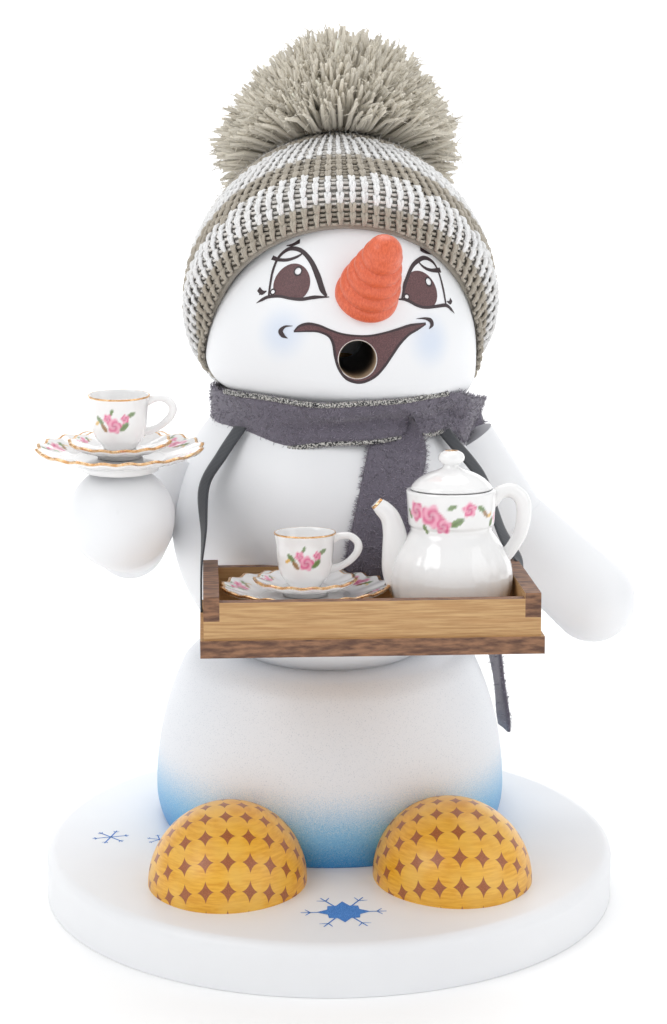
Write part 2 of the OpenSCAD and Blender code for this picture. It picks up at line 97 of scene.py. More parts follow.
class Build:
    """Collects parts of one mesh, in millimetres."""

    def __init__(self):
        self.v, self.f, self.m, self.c, self.n = [], [], [], [], 0

    def add(self, verts, faces, mat=0, tint=None):
        verts = np.asarray(verts, float).reshape(-1, 3)
        for group in faces:
            group = np.asarray(group)
            if len(group):
                self.f += (group + self.n).tolist()
                self.m += [mat] * len(group)
        self.v.append(verts)
        self.c.append(np.ones((len(verts), 3)) if tint is None else np.broadcast_to(tint, (len(verts), 3)))
        self.n += len(verts)
        return self

    def second(self, faces):
        """Faces in the second material, on the shape added last."""
        self.f += (faces + self.n - len(self.v[-1])).tolist()
        self.m += [1] * len(faces)

    def piece(self, name, mats, body, slot, hides=(), flat=False, tidy=False):
        me = bpy.data.meshes.new(name)
        me.from_pydata((np.concatenate(self.v) * 0.001).tolist(), [], self.f)
        me.polygons.foreach_set("material_index", self.m)
        me.polygons.foreach_set("use_smooth", [not flat] * len(self.f))
        tint = me.color_attributes.new("tint", "FLOAT_COLOR", "POINT")
        rgba = np.concatenate([np.concatenate(self.c), np.ones((self.n, 1))], 1)
        tint.data.foreach_set("color", rgba.ravel())
        if tidy:
            bm = bmesh.new()
            bm.from_mesh(me)
            bmesh.ops.remove_doubles(bm, verts=bm.verts, dist=1e-7)
            bmesh.ops.recalc_face_normals(bm, faces=bm.faces)
            bm.to_mesh(me)
            bm.free()
        for m in mats:
            me.materials.append(m)
        me.update()
        ob = bpy.data.objects.new(name, me)
        bpy.context.collection.objects.link(ob)
        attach(ob, body)
        if hides:
            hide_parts(*hides)
        return ob


def tubes(paths, radius, sides=6, ref=(0.0, 0.0, 1.0), squash=1.0, caps=True):
    """Tubes along many paths at once: paths is (count, points, 3)."""
    p = np.asarray(paths, float)
    p = p[None] if p.ndim == 2 else p
    count, k = p.shape[:2]
    r = np.broadcast_to(np.asarray(radius, float), (count, k))
    t = unit(np.gradient(p, axis=1))
    ref = np.asarray(ref, float)
    ref = ref[:, None] if ref.ndim == 2 else ref
    b = unit(np.cross(t, np.broadcast_to(ref, t.shape)))
    c = np.cross(b, t) * squash
    a = TAU * np.arange(sides) / sides
    v = p[:, :, None] + r[:, :, None, None] * (np.cos(a)[:, None] * b[:, :, None] + np.sin(a)[:, None]
            * c[:, :, None])
    i = np.arange(count * k * sides).reshape(count, k, sides)
    nxt = np.roll(i, -1, axis=2)
    quads = np.stack([i[:, :-1], i[:, 1:], nxt[:, 1:], nxt[:, :-1]], -1).reshape(-1, 4)
    return v.reshape(-1, 3), [quads] + ([i[:, 0], i[:, -1, ::-1]] if caps else [])


def ring_quads(count, n):
    """Point numbers of count closed rings of n points, and the quads between them."""
    idx = np.arange(count * n).reshape(count, n)
    nx = np.roll(idx, -1, axis=1)
    return idx, np.stack([idx[:-1], nx[:-1], nx[1:], idx[1:]], -1).reshape(-1, 4)


def lathe(profile, n=128):
    """A turned shape. The profile runs from the axis below, round the outside, to the axis above."""
    a = TAU * np.arange(n) / n
    verts, rings, quads, tris = [], [], [], []
    for r, z in profile:
        at = len(verts)
        if r < 1e-6:
            verts.append((0, 0, z))
            rings.append([at])
        else:
            verts += [(r * math.cos(t), r * math.sin(t), z) for t in a]
            rings.append(range(at, at + n))
    for p, q in zip(rings, rings[1:]):
        for k in range(n):
            m = (k + 1) % n
            if len(p) == 1 and len(q) > 1:
                tris.append((p[0], q[m], q[k]))
            elif len(q) == 1 and len(p) > 1:
                tris.append((p[k], p[m], q[0]))
            elif len(p) > 1:
                quads.append((p[k], p[m], q[m], q[k]))
    return np.array(verts), [np.array(quads), np.array(tris)]


def fill(outline, holes=(), step=0.7):
    """Triangles inside a flat outline, with points inside so that it can follow a curved surface."""
    loops = [np.asarray(outline)] + [np.asarray(h) for h in holes]

    def inside(p, loop):
        x, y = p[:, 0][:, None], p[:, 1][:, None]
        a, b = loop, np.roll(loop, -1, axis=0)
        with np.errstate(divide="ignore", invalid="ignore"):
            hit = ((a[:, 1] > y) != (b[:, 1] > y)) & (x < (b[:, 0] - a[:, 0])
                    * (y - a[:, 1]) / (b[:, 1] - a[:, 1]) + a[:, 0])
        return hit.sum(1) % 2 == 1

    lo, hi = loops[0].min(0), loops[0].max(0)
    gx, gy = np.meshgrid(np.arange(lo[0], hi[0], step), np.arange(lo[1], hi[1], step))
    grid = np.stack([gx.ravel(), gy.ravel()], 1) + 0.013
    every = np.concatenate(loops)
    keep = inside(grid, loops[0])
    for h in loops[1:]:
        keep &= ~inside(grid, h)
    keep &= np.linalg.norm(grid[:, None] - every[None], axis=2).min(1) > step * 0.4
    points = np.concatenate([every, grid[keep]])
    edges, at = [], 0
    for loop in loops:
        n = len(loop)
        edges += [(at + i, at + (i + 1) % n) for i in range(n)]
        at += n
    v, _, f, *_ = delaunay_2d_cdt([*points], edges, [], 0, 1e-6)
    v = np.array([*v])
    f = np.array(f)
    c = v[f].mean(1)
    good = inside(c, loops[0])
    for h in loops[1:]:
        good &= ~inside(c, h)
    return v, f[good]


def stroke(points, width, per=8):
    """A pen line of changing width: returns flat points and quads."""
    line = curve(points, per)
    t = unit(np.gradient(line, axis=0))
    side = np.stack([-t[:, 1], t[:, 0]], 1)
    s = np.linspace(0, 1, len(line))
    w = np.interp(s, np.linspace(0, 1, len(width)), width)[:, None] / 2
    n = len(line)
    v = np.concatenate([line + side * w, line - side * w])
    f = np.array([(i + n, i + 1 + n, i + 1, i) for i in range(n - 1)])
    return v, f


# ---------------------------------------------------------------- materials
def rgb(r, g, b):
    """Screen colour, 0 to 255, as linear light."""
    return tuple((c / 255 / 12.92) if c <= 10 else ((c / 255 + 0.055) / 1.055) ** 2.4 for c in (r, g, b))


class Shade:
    """A procedural material. Its place in the object is in millimetres."""

    def __init__(self, name, **sockets):
        self.m = bpy.data.materials.new(name)
        self.m.use_nodes = True
        self.t = self.m.node_tree
        self.b = self.t.nodes["Principled BSDF"]
        for k, v in sockets.items():
            self.b.inputs[k.replace("_", " ")].default_value = v
        self.co = self.vec("SCALE", self.add("TexCoord", out="Object"), scale=1000.0)

    def add(self, kind, *ins, out=0, **props):
        n = self.t.nodes.new("ShaderNode" + kind)
        for k, v in props.items():
            setattr(n, k, v)
        for key, v in ins:
            if isinstance(v, bpy.types.NodeSocket):
                self.t.links.new(v, n.inputs[key])
            else:
                n.inputs[key].default_value = v
        return n.outputs[out]

    def math(self, op, a, b=0.0, clamp=False):
        return self.add("Math", (0, a), (1, b), operation=op, use_clamp=clamp)

    def vec(self, op, a, b=None, scale=None):
        ins = ([(0, a)] + ([(1, b)] if b is not None else [])
                + ([("Scale", scale)] if scale is not None else []))
        return self.add("VectorMath", *ins, operation=op,
                out=1 if op in ("DOT_PRODUCT", "LENGTH", "DISTANCE") else 0)

    def noise(self, scale, detail=3.0, at=None, stretch=None, rough=0.55):
        at = self.co if at is None else at
        if stretch is not None:
            at = self.vec("MULTIPLY", at, stretch)
        return self.add("TexNoise", ("Vector", at), ("Scale", scale), ("Detail", detail),
                ("Roughness", rough))

    def step(self, value, lo, hi, to=(0.0, 1.0)):
        return self.add("MapRange", ("Value", value), ("From Min", lo), ("From Max", hi),
                ("To Min", to[0]), ("To Max", to[1]),
                        interpolation_type="SMOOTHSTEP")

    def mix(self, fac, a, b):
        a, b = [(*c, 1.0) if isinstance(c, tuple) and len(c) == 3 else c for c in (a, b)]
        return self.add("Mix", (0, fac), (6, a), (7, b), data_type="RGBA", out=2)

    def bump(self, height, distance, strength=1.0, normal=None):
        ins = [("Height", height), ("Distance", distance * 0.001), ("Strength", strength)]
        return self.add("Bump", *(ins + ([("Normal", normal)] if normal is not None else [])))

    def set(self, name, value):
        if isinstance(value, bpy.types.NodeSocket):
            self.t.links.new(value, self.b.inputs[name])
        else:
            self.b.inputs[name].default_value = value
        return self

    def tint(self):
        return self.add("Attribute", attribute_name="tint", out="Color")


def paint_finish(s, color):
    """Sprayed satin paint over turned wood."""
    peel = s.noise(2.2, 2.0)
    fine = s.noise(9.0, 2.0)
    s.set("Base Color", s.mix(s.step(s.noise(0.05, 2.0), 0.35, 0.7, (0.0, 0.5)), color,
            rgb(236, 237, 240)) if isinstance(color, tuple) else color)
    s.set("Roughness", s.step(fine, 0.3, 0.7, (0.36, 0.46)))
    s.set("Normal", s.bump(fine, 0.012, 0.35, s.bump(peel, 0.03, 0.35)))
    return s.m


WHITE = rgb(240, 241, 243)
paint = paint_finish(Shade("white_paint"), WHITE)

low_lo, low_hi = box("lower_body")
AXIS = np.array([(low_lo[0] + low_hi[0]) / 2, (low_lo[1] + low_hi[1]) / 2, 0.0])
BASE_TOP = box("base_disc")[1][2]

s = Shade("blue_sprayed_paint")
z = s.add("SeparateXYZ", (0, s.co), out=2)
grains = s.noise(6.5, 1.0)
spray = s.math("ADD", s.math("MULTIPLY", s.math("SUBTRACT", z, float(BASE_TOP)), 1 / 15.5),
        s.math("MULTIPLY", s.math("SUBTRACT", grains, 0.5), 0.75))
blue = s.mix(s.step(spray, -0.1, 0.55), rgb(40, 138, 206), rgb(128, 188, 226))
fade = s.mix(s.step(spray, 0.35, 1.02), blue, rgb(232, 234, 238))
speck = s.step(s.noise(5.0, 0.0), 0.66, 0.74, (0.0, 0.35))
paint_finish(s, s.mix(speck, fade, rgb(176, 186, 198)))
blue_paint = s.m

s = Shade("bare_wood", Roughness=0.6)
ring = s.noise(0.5, 4.0, stretch=(4.0, 4.0, 0.5))
s.set("Base Color", s.mix(ring, rgb(214, 184, 140), rgb(184, 148, 100)))
s.set("Normal", s.bump(ring, 0.05, 0.4))
bare_wood = s.m

s = Shade("tinplate", Metallic=1.0, Roughness=0.35)
s.set("Base Color", s.mix(s.noise(1.2, 4.0), rgb(196, 198, 202), rgb(150, 150, 152)))
s.set("Roughness", s.step(s.noise(3.0, 3.0), 0.3, 0.7, (0.25, 0.5)))
tin = s.m

s = Shade("coral_wood", Roughness=0.42, Coat_Weight=0.25, Coat_Roughness=0.35)
grain = s.noise(2.2, 5.0, stretch=(1.6, 0.7, 0.7), rough=0.65)
dots = s.noise(7.0, 2.0)
tone = s.mix(s.step(grain, 0.3, 0.7), rgb(206, 84, 48), rgb(230, 110, 70))
s.set("Base Color", s.mix(s.step(dots, 0.6, 0.75, (0.0, 0.5)), tone, rgb(240, 146, 106)))
s.set("Normal", s.bump(grain, 0.04, 0.4))
coral = s.m


def star_wood(name, node, side):
    """Amber stained wood with a printed square lattice of small four-pointed stars."""
    s = Shade(name, Roughness=0.4, Coat_Weight=0.3, Coat_Roughness=0.3)
    lo, hi = box(node)
    centre = ((lo[0] + hi[0]) / 2, lo[1] + 17.0, lo[2] - 1.0)
    out = unit(np.array([-0.12 * side, -0.72, 0.69]))
    ex = unit(np.cross(np.array([0.0, 0.0, 1.0]), -out))
    ex = unit(ex + 0.10 * side * np.cross(out, ex))
    ey = np.cross(out, ex)
    p = s.vec("SUBTRACT", s.co, centre)
    x, y, w = (s.vec("DOT_PRODUCT", p, tuple(e)) for e in (ex, ey, out))
    rho = s.math("SQRT", s.math("ADD", s.math("MULTIPLY", x, x), s.math("MULTIPLY", y, y)))
    reach = s.math("DIVIDE", s.math("MULTIPLY", s.math("ARCTAN2", rho, w), 15.5 / 3.8),
            s.math("MAXIMUM", rho, 0.001))
    cell = []
    for q, stretch in ((x, 1.0), (y, 0.78)):
        u = s.math("FRACT", s.math("ADD", s.math("MULTIPLY", s.math("MULTIPLY", q, reach), stretch), 20.5))
        cell.append(s.math("SUBTRACT", u, 0.5))
    d = s.math("SQRT", s.math("ADD", s.math("MULTIPLY", cell[0], cell[0]),
            s.math("MULTIPLY", cell[1], cell[1])))
    star = s.step(d, 0.506, 0.522)
    grain = s.noise(0.9, 5.0, stretch=(0.35, 0.35, 3.0), rough=0.6)
    tone = s.mix(s.step(grain, 0.32, 0.68), rgb(222, 154, 26), rgb(240, 182, 54))
    tone = s.mix(s.step(s.noise(0.12, 2.0), 0.4, 0.7, (0.0, 0.6)), tone, rgb(240, 194, 92))
    print_tone = s.mix(s.step(s.noise(6.0, 1.0), 0.4, 0.7), rgb(152, 84, 44), rgb(176, 104, 60))
    s.set("Base Color", s.mix(star, tone, print_tone))
    s.set("Normal", s.bump(grain, 0.04, 0.3))
    return s.m


TRAY_TILT = 4.0


def tray_wood(name, cut_axes):
    """Light laser-cut wood: faces whose normal is along a cut axis are scorched."""
    s = Shade(name, Roughness=0.55)
    back = tuple(turn("x", TRAY_TILT)[i] for i in range(3))
    x, y, z = (s.vec("DOT_PRODUCT", s.co, tuple(b)) for b in back)
    at = s.add("CombineXYZ", (0, x), (1, y), (2, z))
    grain = s.noise(1.0, 5.0, at=at, stretch=(0.12, 1.6, 2.6), rough=0.62)
    streak = s.noise(0.25, 3.0, at=at, stretch=(0.3, 2.0, 2.5))
    light = s.mix(s.step(grain, 0.3, 0.72), rgb(172, 130, 84), rgb(206, 168, 118))
    light = s.mix(s.step(streak, 0.45, 0.7, (0.0, 0.6)), light, rgb(186, 142, 94))
    burnt = s.mix(s.step(s.noise(0.9, 4.0, at=at, stretch=(0.35, 1.0, 1.6)), 0.3, 0.72), rgb(88, 58, 44),
            rgb(152, 110, 80))
    normal = s.add("TexCoord", out="Normal")
    face = None
    for a in cut_axes:
        d = s.math("ABSOLUTE", s.vec("DOT_PRODUCT", normal, tuple(back["xyz".index(a)])))
        face = d if face is None else s.math("MAXIMUM", face, d)
    s.set("Base Color", s.mix(s.step(face, 0.6, 0.8), light, burnt))
    s.set("Normal", s.bump(grain, 0.06, 0.5))
    return s.m


s = Shade("scarf_felt", Roughness=0.9, Sheen_Weight=0.35, Sheen_Roughness=0.5)
fine = s.noise(7.0, 4.0, rough=0.7)
s.set("Base Color", s.mix(s.step(fine, 0.34, 0.68), rgb(84, 79, 91), rgb(126, 120, 133)))
s.set("Normal", s.bump(fine, 0.10, 0.6))
felt = s.m
pile_shade = Shade("scarf_pile", Roughness=0.85, Sheen_Weight=0.3)
pile_shade.set("Base Color", pile_shade.tint())
pile_mat = pile_shade.m

s = Shade("ribbon_weave", Roughness=0.7, Sheen_Weight=0.2)
weft = s.add("TexWave", ("Vector", s.co), ("Scale", 1.6), ("Distortion", 0.4), bands_direction="Z", out=1)
warp = s.noise(6.0, 2.0, stretch=(1.5, 1.5, 0.3))
s.set("Base Color", s.mix(s.math("MULTIPLY", weft, warp), rgb(48, 50, 55), rgb(92, 95, 100)))
s.set("Normal", s.bump(weft, 0.05, 0.5))
ribbon_mat = s.m

s = Shade("overlock_thread", Roughness=0.8)
speckle = s.noise(3.2, 2.0, rough=0.8)
s.set("Base Color", s.mix(s.step(speckle, 0.47, 0.56), rgb(40, 40, 44), rgb(214, 212, 206)))
s.set("Normal", s.bump(speckle, 0.2, 0.8))
overlock_mat = s.m

s = Shade("wool_yarn", Roughness=0.92, Sheen_Weight=0.3, Sheen_Roughness=0.6)
twist = s.noise(5.5, 3.0, rough=0.7)
s.set("Base Color", s.mix(s.step(twist, 0.28, 0.72, (0.0, 0.28)), s.tint(),
        s.mix(0.55, s.tint(), rgb(70, 62, 54))))
s.set("Normal", s.bump(twist, 0.14, 0.8))
yarn = s.m

s = Shade("pompom_yarn", Roughness=0.95, Sheen_Weight=0.25)
twist = s.noise(6.0, 3.0, rough=0.7)
s.set("Base Color", s.mix(s.step(twist, 0.3, 0.7, (0.0, 0.24)), s.tint(), rgb(132, 123, 106)))
s.set("Normal", s.bump(twist, 0.12, 0.6))
pompom_mat = s.m

s = Shade("porcelain", Roughness=0.1, Coat_Weight=0.6, Coat_Roughness=0.04)
s.set("Base Color", s.mix(s.step(s.noise(0.4, 2.0), 0.3, 0.7, (0.0, 0.12)), s.tint(), rgb(232, 232, 234)))
s.set("Normal", s.bump(s.noise(0.5, 2.0), 0.08, 0.25))
glaze = s.m

s = Shade("gold_rim", Metallic=1.0, Roughness=0.28)
s.set("Base Color", s.mix(s.step(s.noise(1.1, 3.0), 0.35, 0.65), rgb(214, 164, 112), rgb(236, 204, 164)))
s.set("Roughness", s.step(s.noise(1.5, 2.0), 0.3, 0.7, (0.2, 0.42)))
gold = s.m

s = Shade("face_line_ink", Roughness=0.5)
s.set("Base Color", s.mix(s.noise(5.0, 2.0), rgb(44, 32, 36), rgb(66, 50, 54)))
line_ink = s.m
s = Shade("face_fill_ink", Roughness=0.5)
s.set("Base Color", s.mix(s.step(s.noise(6.0, 2.0), 0.42, 0.66), rgb(86, 58, 60), rgb(112, 76, 78)))
fill_ink = s.m
s = Shade("snowflake_ink", Roughness=0.45)
s.set("Base Color", s.mix(s.step(s.noise(5.0, 2.0), 0.4, 0.65), rgb(44, 112, 196), rgb(84, 148, 222)))
flake_ink = s.m


def dress(node, mat):
    me = nodes[node].data
    me.materials.clear()
    me.materials.append(mat)


for name in ("base_disc", "upper_body", "right_upper_arm", "right_forearm", "left_upper_arm",
        "left_forearm"):
    dress(name, paint)
for name in ("body_dowel", "neck_tube", "shoulder_dowels"):
    dress(name, bare_wood)
dress("burner_dish", tin)
dress("dish_tack", tin)
dress("left_foot", star_wood("amber_star_wood_left", "left_foot", 1))
dress("right_foot", star_wood("amber_star_wood_right", "right_foot", -1))
dress("tray_floor", tray_wood("tray_board", "xy"))
rail_wood = tray_wood("tray_rail_wood", "xz")
dress("tray_front_rail", rail_wood)
dress("tray_back_rail", rail_wood)
dress("tray_ends", tray_wood("tray_end_wood", "yz"))


# ---------------------------------------------------------------- lower body, turned
SEAM_Z, SPIGOT_R = 43.0, 13.0


def arc(c, r, start, end, n):
    a = np.radians(np.linspace(start, end, n))
    return [(c[0] + r * math.cos(t), c[1] + r * math.sin(t)) for t in a]


def lower_profile():
    wide, under, side_r, shoulder = 34.1, 14.5, 59.0, 5.0
    wide_z = BASE_TOP + 6.0
    turn_at = math.degrees(math.asin((SEAM_Z - shoulder - wide_z) / (side_r - shoulder)))
    turn_r = wide - side_r + (side_r - shoulder) * math.cos(math.radians(turn_at))
    start = math.degrees(math.asin((BASE_TOP - wide_z) / under))
    pts = [(0, BASE_TOP), (14.0, BASE_TOP)]
    pts += arc((wide - under, wide_z), under, start, 0, 16)
    pts += arc((wide - side_r, wide_z), side_r, 1, turn_at, 26)
    pts += arc((turn_r, SEAM_Z - shoulder), shoulder, turn_at + 4, 90, 16)
    top = low_hi[2]
    pts += [(SPIGOT_R + 0.4, SEAM_Z), (SPIGOT_R, SEAM_Z + 0.02), (SPIGOT_R, top - 0.5),
            (SPIGOT_R - 0.15, top - 0.15),
            (SPIGOT_R - 0.5, top), (2.2, top), (0, top)]
    return pts


b = Build()
v, f = lathe(lower_profile(), 192)
b.add(v + AXIS, f)
lower = b.piece("lower_body_turned", [blue_paint, bare_wood], "lower", "white_paint", ["lower_body"])
for poly in lower.data.polygons:
    c = poly.center * 1000
    if c.z > SEAM_Z - 0.05 and math.hypot(c.x - AXIS[0], c.y - AXIS[1]) < SPIGOT_R + 1.0:
        poly.material_index = 1
        poly.use_smooth = abs(poly.normal.z) < 0.2
drill = bpy.data.objects.new("air_drill", bpy.data.meshes.new("air_drill"))
v, f = lathe([(0, -2), (1.4, -2), (1.4, 60), (0, 60)], 32)
drill.data.from_pydata(((v + np.array([AXIS[0], AXIS[1] + 11.1, 0])) * 0.001).tolist(), [], f[0].tolist()
        + f[1].tolist())
bpy.context.collection.objects.link(drill)
cut = lower.modifiers.new("air_hole", "BOOLEAN")
cut.object, cut.solver = drill, "EXACT"
dg = bpy.context.evaluated_depsgraph_get()
bored = bpy.data.meshes.new_from_object(lower.evaluated_get(dg))
lower.modifiers.remove(cut)
lower.data = bored
bpy.data.objects.remove(drill)


# ---------------------------------------------------------------- snowflakes printed on the base
def snowflake(b, at, size, solid, spin):
    def put(v, f, lift=0.03):
        b.add(np.concatenate([v + np.array(at), np.full((len(v), 1), BASE_TOP + lift)], 1),
                [f[:, ::-1] if f.shape[1] == 4 else f])

    for k in range(6):
        a = math.radians(60 * k + spin)
        d, n = np.array([math.cos(a), math.sin(a)]), np.array([-math.sin(a), math.cos(a)])
        w = size * (0.022 if solid else 0.045)
        put(*stroke([d * size * (0.42 if solid else 0.0), d * size * 0.7, d * size * 0.98],
                [w * 2, w * 1.8, w * 1.4], 2))
        for fork in (1, -1):
            root = d * size * 0.76
            tip = root + (d * 0.7 + n * fork) * size * 0.17
            put(*stroke([root, (root + tip) / 2, tip], [w * 1.5, w * 1.4, w * 0.8], 2))
    if solid:
        spikes = []
        for k in range(16):
            a = TAU * k / 16 + math.radians(spin)
            r = size * (0.62 if k % 4 == 0 else 0.5) if k % 2 == 0 else size * 0.4
            spikes.append((r * math.cos(a), r * math.sin(a)))
        put(*fill(spikes, step=2.0), lift=0.045)


b = Build()
snowflake(b, (0.6, -38.6), 7.8, True, 0)
snowflake(b, (-42.0, 1.2), 3.6, False, 12)
snowflake(b, (-32.6, -0.6), 2.6, False, 40)
b.piece("base_snowflakes", [flake_ink], "lower", "white_paint", flat=True)


# ---------------------------------------------------------------- head print
NECK = np.array([AXIS[0] + 1.7, AXIS[1], 93.5])
TO_HEAD = turn("y", 4.0) @ turn("z", 3.0)
HEAD_WIDE, HEAD_TALL, HEAD_CROWN, CHIN_R, CHIN_H = 25.7, 34.5, 21.0, 19.7, 6.0
HEAD_SIDE = (HEAD_WIDE ** 2 + (HEAD_TALL - HEAD_CROWN) ** 2 - HEAD_CROWN ** 2) / (2
        * (HEAD_WIDE - HEAD_CROWN))
DEG = 0.44


def head_r(h):
    z = np.asarray(h, float) - CHIN_H
    join = (HEAD_TALL - HEAD_CROWN) * HEAD_SIDE / (HEAD_SIDE - HEAD_CROWN)
    low = CHIN_R + np.sqrt(np.maximum(0, CHIN_H ** 2 - z * z))
    mid = HEAD_WIDE - HEAD_SIDE + np.sqrt(np.maximum(0, HEAD_SIDE ** 2 - z * z))
    top = np.sqrt(np.maximum(0, HEAD_CROWN ** 2 - (z - (HEAD_TALL - HEAD_CROWN)) ** 2))
    return np.where(z < 0, low, np.where(z < join, mid, top))


def on_face(flat, lift=0.05):
    """From (across, up) on the unrolled face, in millimetres, to the head's surface."""
    az, h = np.radians(flat[:, 0] / DEG), flat[:, 1]
    slope = (head_r(h + 0.05) - head_r(h - 0.05)) / 0.1
    n = unit(np.stack([np.sin(az), -np.cos(az), -slope], 1))
    r = head_r(h)
    p = np.stack([r * np.sin(az), -r * np.cos(az), h], 1) + n * lift
    return p @ TO_HEAD.T + NECK


def deg(points):
    return [(a * DEG, h) for a, h in points]


lines, fills = Build(), Build()


def pen(points, width, lift=0.06, per=8, bold=1.45):
    v, f = stroke(deg(points), [w * bold for w in width], per)
    lines.add(on_face(v, lift), [f[:, ::-1]])


def blot(b, outline, holes=(), lift=0.045, step=0.6):
    v, f = fill(outline, holes, step)
    b.add(on_face(v, lift), [f])


def ring_at(az, h, rx, rh, n=40):
    return [(az * DEG + rx * math.cos(TAU * k / n), h + rh * math.sin(TAU * k / n)) for k in range(n)]


def under_line(points, cut):
    """Keeps a ring above the lower lid."""
    x, y = zip(*deg(cut))
    return [(px, max(py, float(np.interp(px, x, y)))) for px, py in points]


# The points of the lids, arches, lashes, lip and chin are degrees round the head and height up it.
# They were read off the photograph, put on the head by a scratch script and adjusted by hand.
left_lid = [(-49.2, 18.3), (-46.4, 19.1), (-43.2, 19.8), (-37.6, 20.2), (-31.9, 20.1), (-26.6, 20.2),
        (-20.7, 20.8), (-14.0, 21.1)]
left_arch = [(-43.2, 19.8), (-44.4, 22.0), (-45.6, 24.6), (-45.2, 26.7), (-42.3, 28.1), (-38.3, 28.6),
        (-32.2, 28.3),
             (-25.8, 26.8), (-20.9, 24.5), (-17.7, 22.3), (-15.3, 21.2)]
right_lid = [(17.0, 21.3), (22.0, 21.2), (27.5, 20.2), (32.3, 19.8), (39.2, 19.9), (45.7, 19.9),
        (49.1, 19.1), (51.2, 18.3)]
right_arch = [(19.8, 21.3), (22.9, 24.2), (28.3, 26.8), (34.8, 28.0), (40.1, 28.2), (45.0, 27.3),
        (46.5, 25.4), (46.3, 22.7), (45.6, 19.9)]
pen(left_lid, [0.05, 0.42, 0.42, 0.34, 0.34, 0.4, 0.45, 0.1])
pen(left_arch, [0.3, 0.36, 0.42, 0.5, 0.55, 0.5, 0.5, 0.62, 0.8, 0.75, 0.3])
pen(right_lid, [0.1, 0.4, 0.36, 0.34, 0.4, 0.45, 0.42, 0.05])
pen(right_arch, [0.3, 0.5, 0.5, 0.52, 0.5, 0.42, 0.36, 0.4, 0.3])
pen([(-49.3, 26.5), (-44.0, 26.35), (-38.8, 26.6), (-34.3, 27.3), (-31.1, 28.2)],
        [0.55, 0.4, 0.4, 0.35, 0.15])
pen([(32.9, 27.9), (36.3, 26.7), (41.2, 26.1), (48.7, 26.0)], [0.15, 0.35, 0.42, 0.6])
pen([(-43.3, 28.9), (-39.6, 29.2), (-36.0, 30.0)], [0.12, 0.4, 0.6])
pen([(38.1, 29.8), (41.6, 29.2), (47.8, 28.7)], [0.6, 0.4, 0.12])
pen([(-50.4, 20.8), (-47.6, 20.3), (-45.2, 20.7)], [0.6, 0.62, 0.1])
pen([(-48.0, 20.3), (-48.9, 19.8)], [0.4, 0.1], per=4)
pen([(46.8, 20.6), (49.1, 20.3), (50.9, 20.8)], [0.1, 0.5, 0.55])
for az, h, rx, lid, spots in (
        (-33.3, 22.7, 4.15, left_lid, ((-31.4, 24.9, 0.86), (-41.6, 20.75, 0.56))),
        (30.9, 22.7, 4.5, right_lid, ((36.9, 24.2, 0.86), (22.4, 21.75, 0.56)))):
    pupil = under_line(ring_at(az, h, rx, 3.45, 64), lid)
    spot = [ring_at(a, hh, r, r * 0.85, 20) for a, hh, r in spots]
    big, small = spot
    blot(fills, pupil, [big])
    for ring, w in ((big, 0.3), (small, 0.28)):
        v, f = stroke(ring + ring[:1], [w, w], 1)
        lines.add(on_face(v, 0.075), [f[:, ::-1]])
shine = Build()
for az, h, r in ((-41.6, 20.75, 0.5), (22.4, 21.75, 0.5)):
    blot(shine, ring_at(az, h, r, r * 0.85, 20), lift=0.06)
shine.piece("eye_shine", [paint], "upper", "white_paint")

lip = [(-27.6, 14.5), (-25.5, 15.5), (-21.9, 16.1), (-17.1, 16.0), (-12.3, 15.4), (-7.6, 14.9),
        (-2.1, 14.7), (4.3, 14.8),
       (10.9, 15.4), (16.9, 16.1), (23.2, 16.8), (31.2, 17.1)]
chin = [(31.2, 16.9), (26.4, 16.0), (22.0, 15.1), (17.8, 13.5), (14.4, 11.5), (11.3, 9.5), (7.8, 7.7),
        (3.5, 6.6), (-0.1, 6.4),
        (-4.1, 7.0), (-7.2, 8.6), (-9.1, 10.7), (-10.4, 13.0), (-12.5, 14.3), (-16.8, 14.9), (-21.5, 14.8),
        (-27.6, 14.4)]
mouth = np.concatenate([curve(deg(lip), 6)[:-1], curve(deg(chin), 6)[:-1]])
MOUTH_H, MOUTH_R = 10.5, 3.4
blot(fills, mouth, [ring_at(0.0, MOUTH_H, MOUTH_R + 0.16, MOUTH_R + 0.14, 56)])
pen(lip, [0.2, 0.45, 0.5, 0.4, 0.35, 0.35, 0.35, 0.35, 0.35, 0.4, 0.45, 0.2], bold=1.0)
pen(chin, [0.2, 0.4, 0.45, 0.5, 0.5, 0.5, 0.5, 0.5, 0.5, 0.5, 0.5, 0.5, 0.5, 0.45, 0.35, 0.3, 0.2], bold=1.0)
pen([(-28.5, 15.4), (-31.9, 15.1), (-33.6, 14.2), (-32.3, 13.5), (-29.9, 13.1)],
        [0.05, 0.35, 0.85, 0.7, 0.05], bold=1.15)
pen([(26.3, 17.9), (30.8, 17.9), (34.0, 17.5), (34.6, 16.8), (32.8, 16.0)], [0.05, 0.35, 0.75, 0.8, 0.05],
        bold=1.15)
lines.piece("face_lines", [line_ink], "upper", "white_paint")
fills.piece("face_print", [fill_ink], "upper", "white_paint")

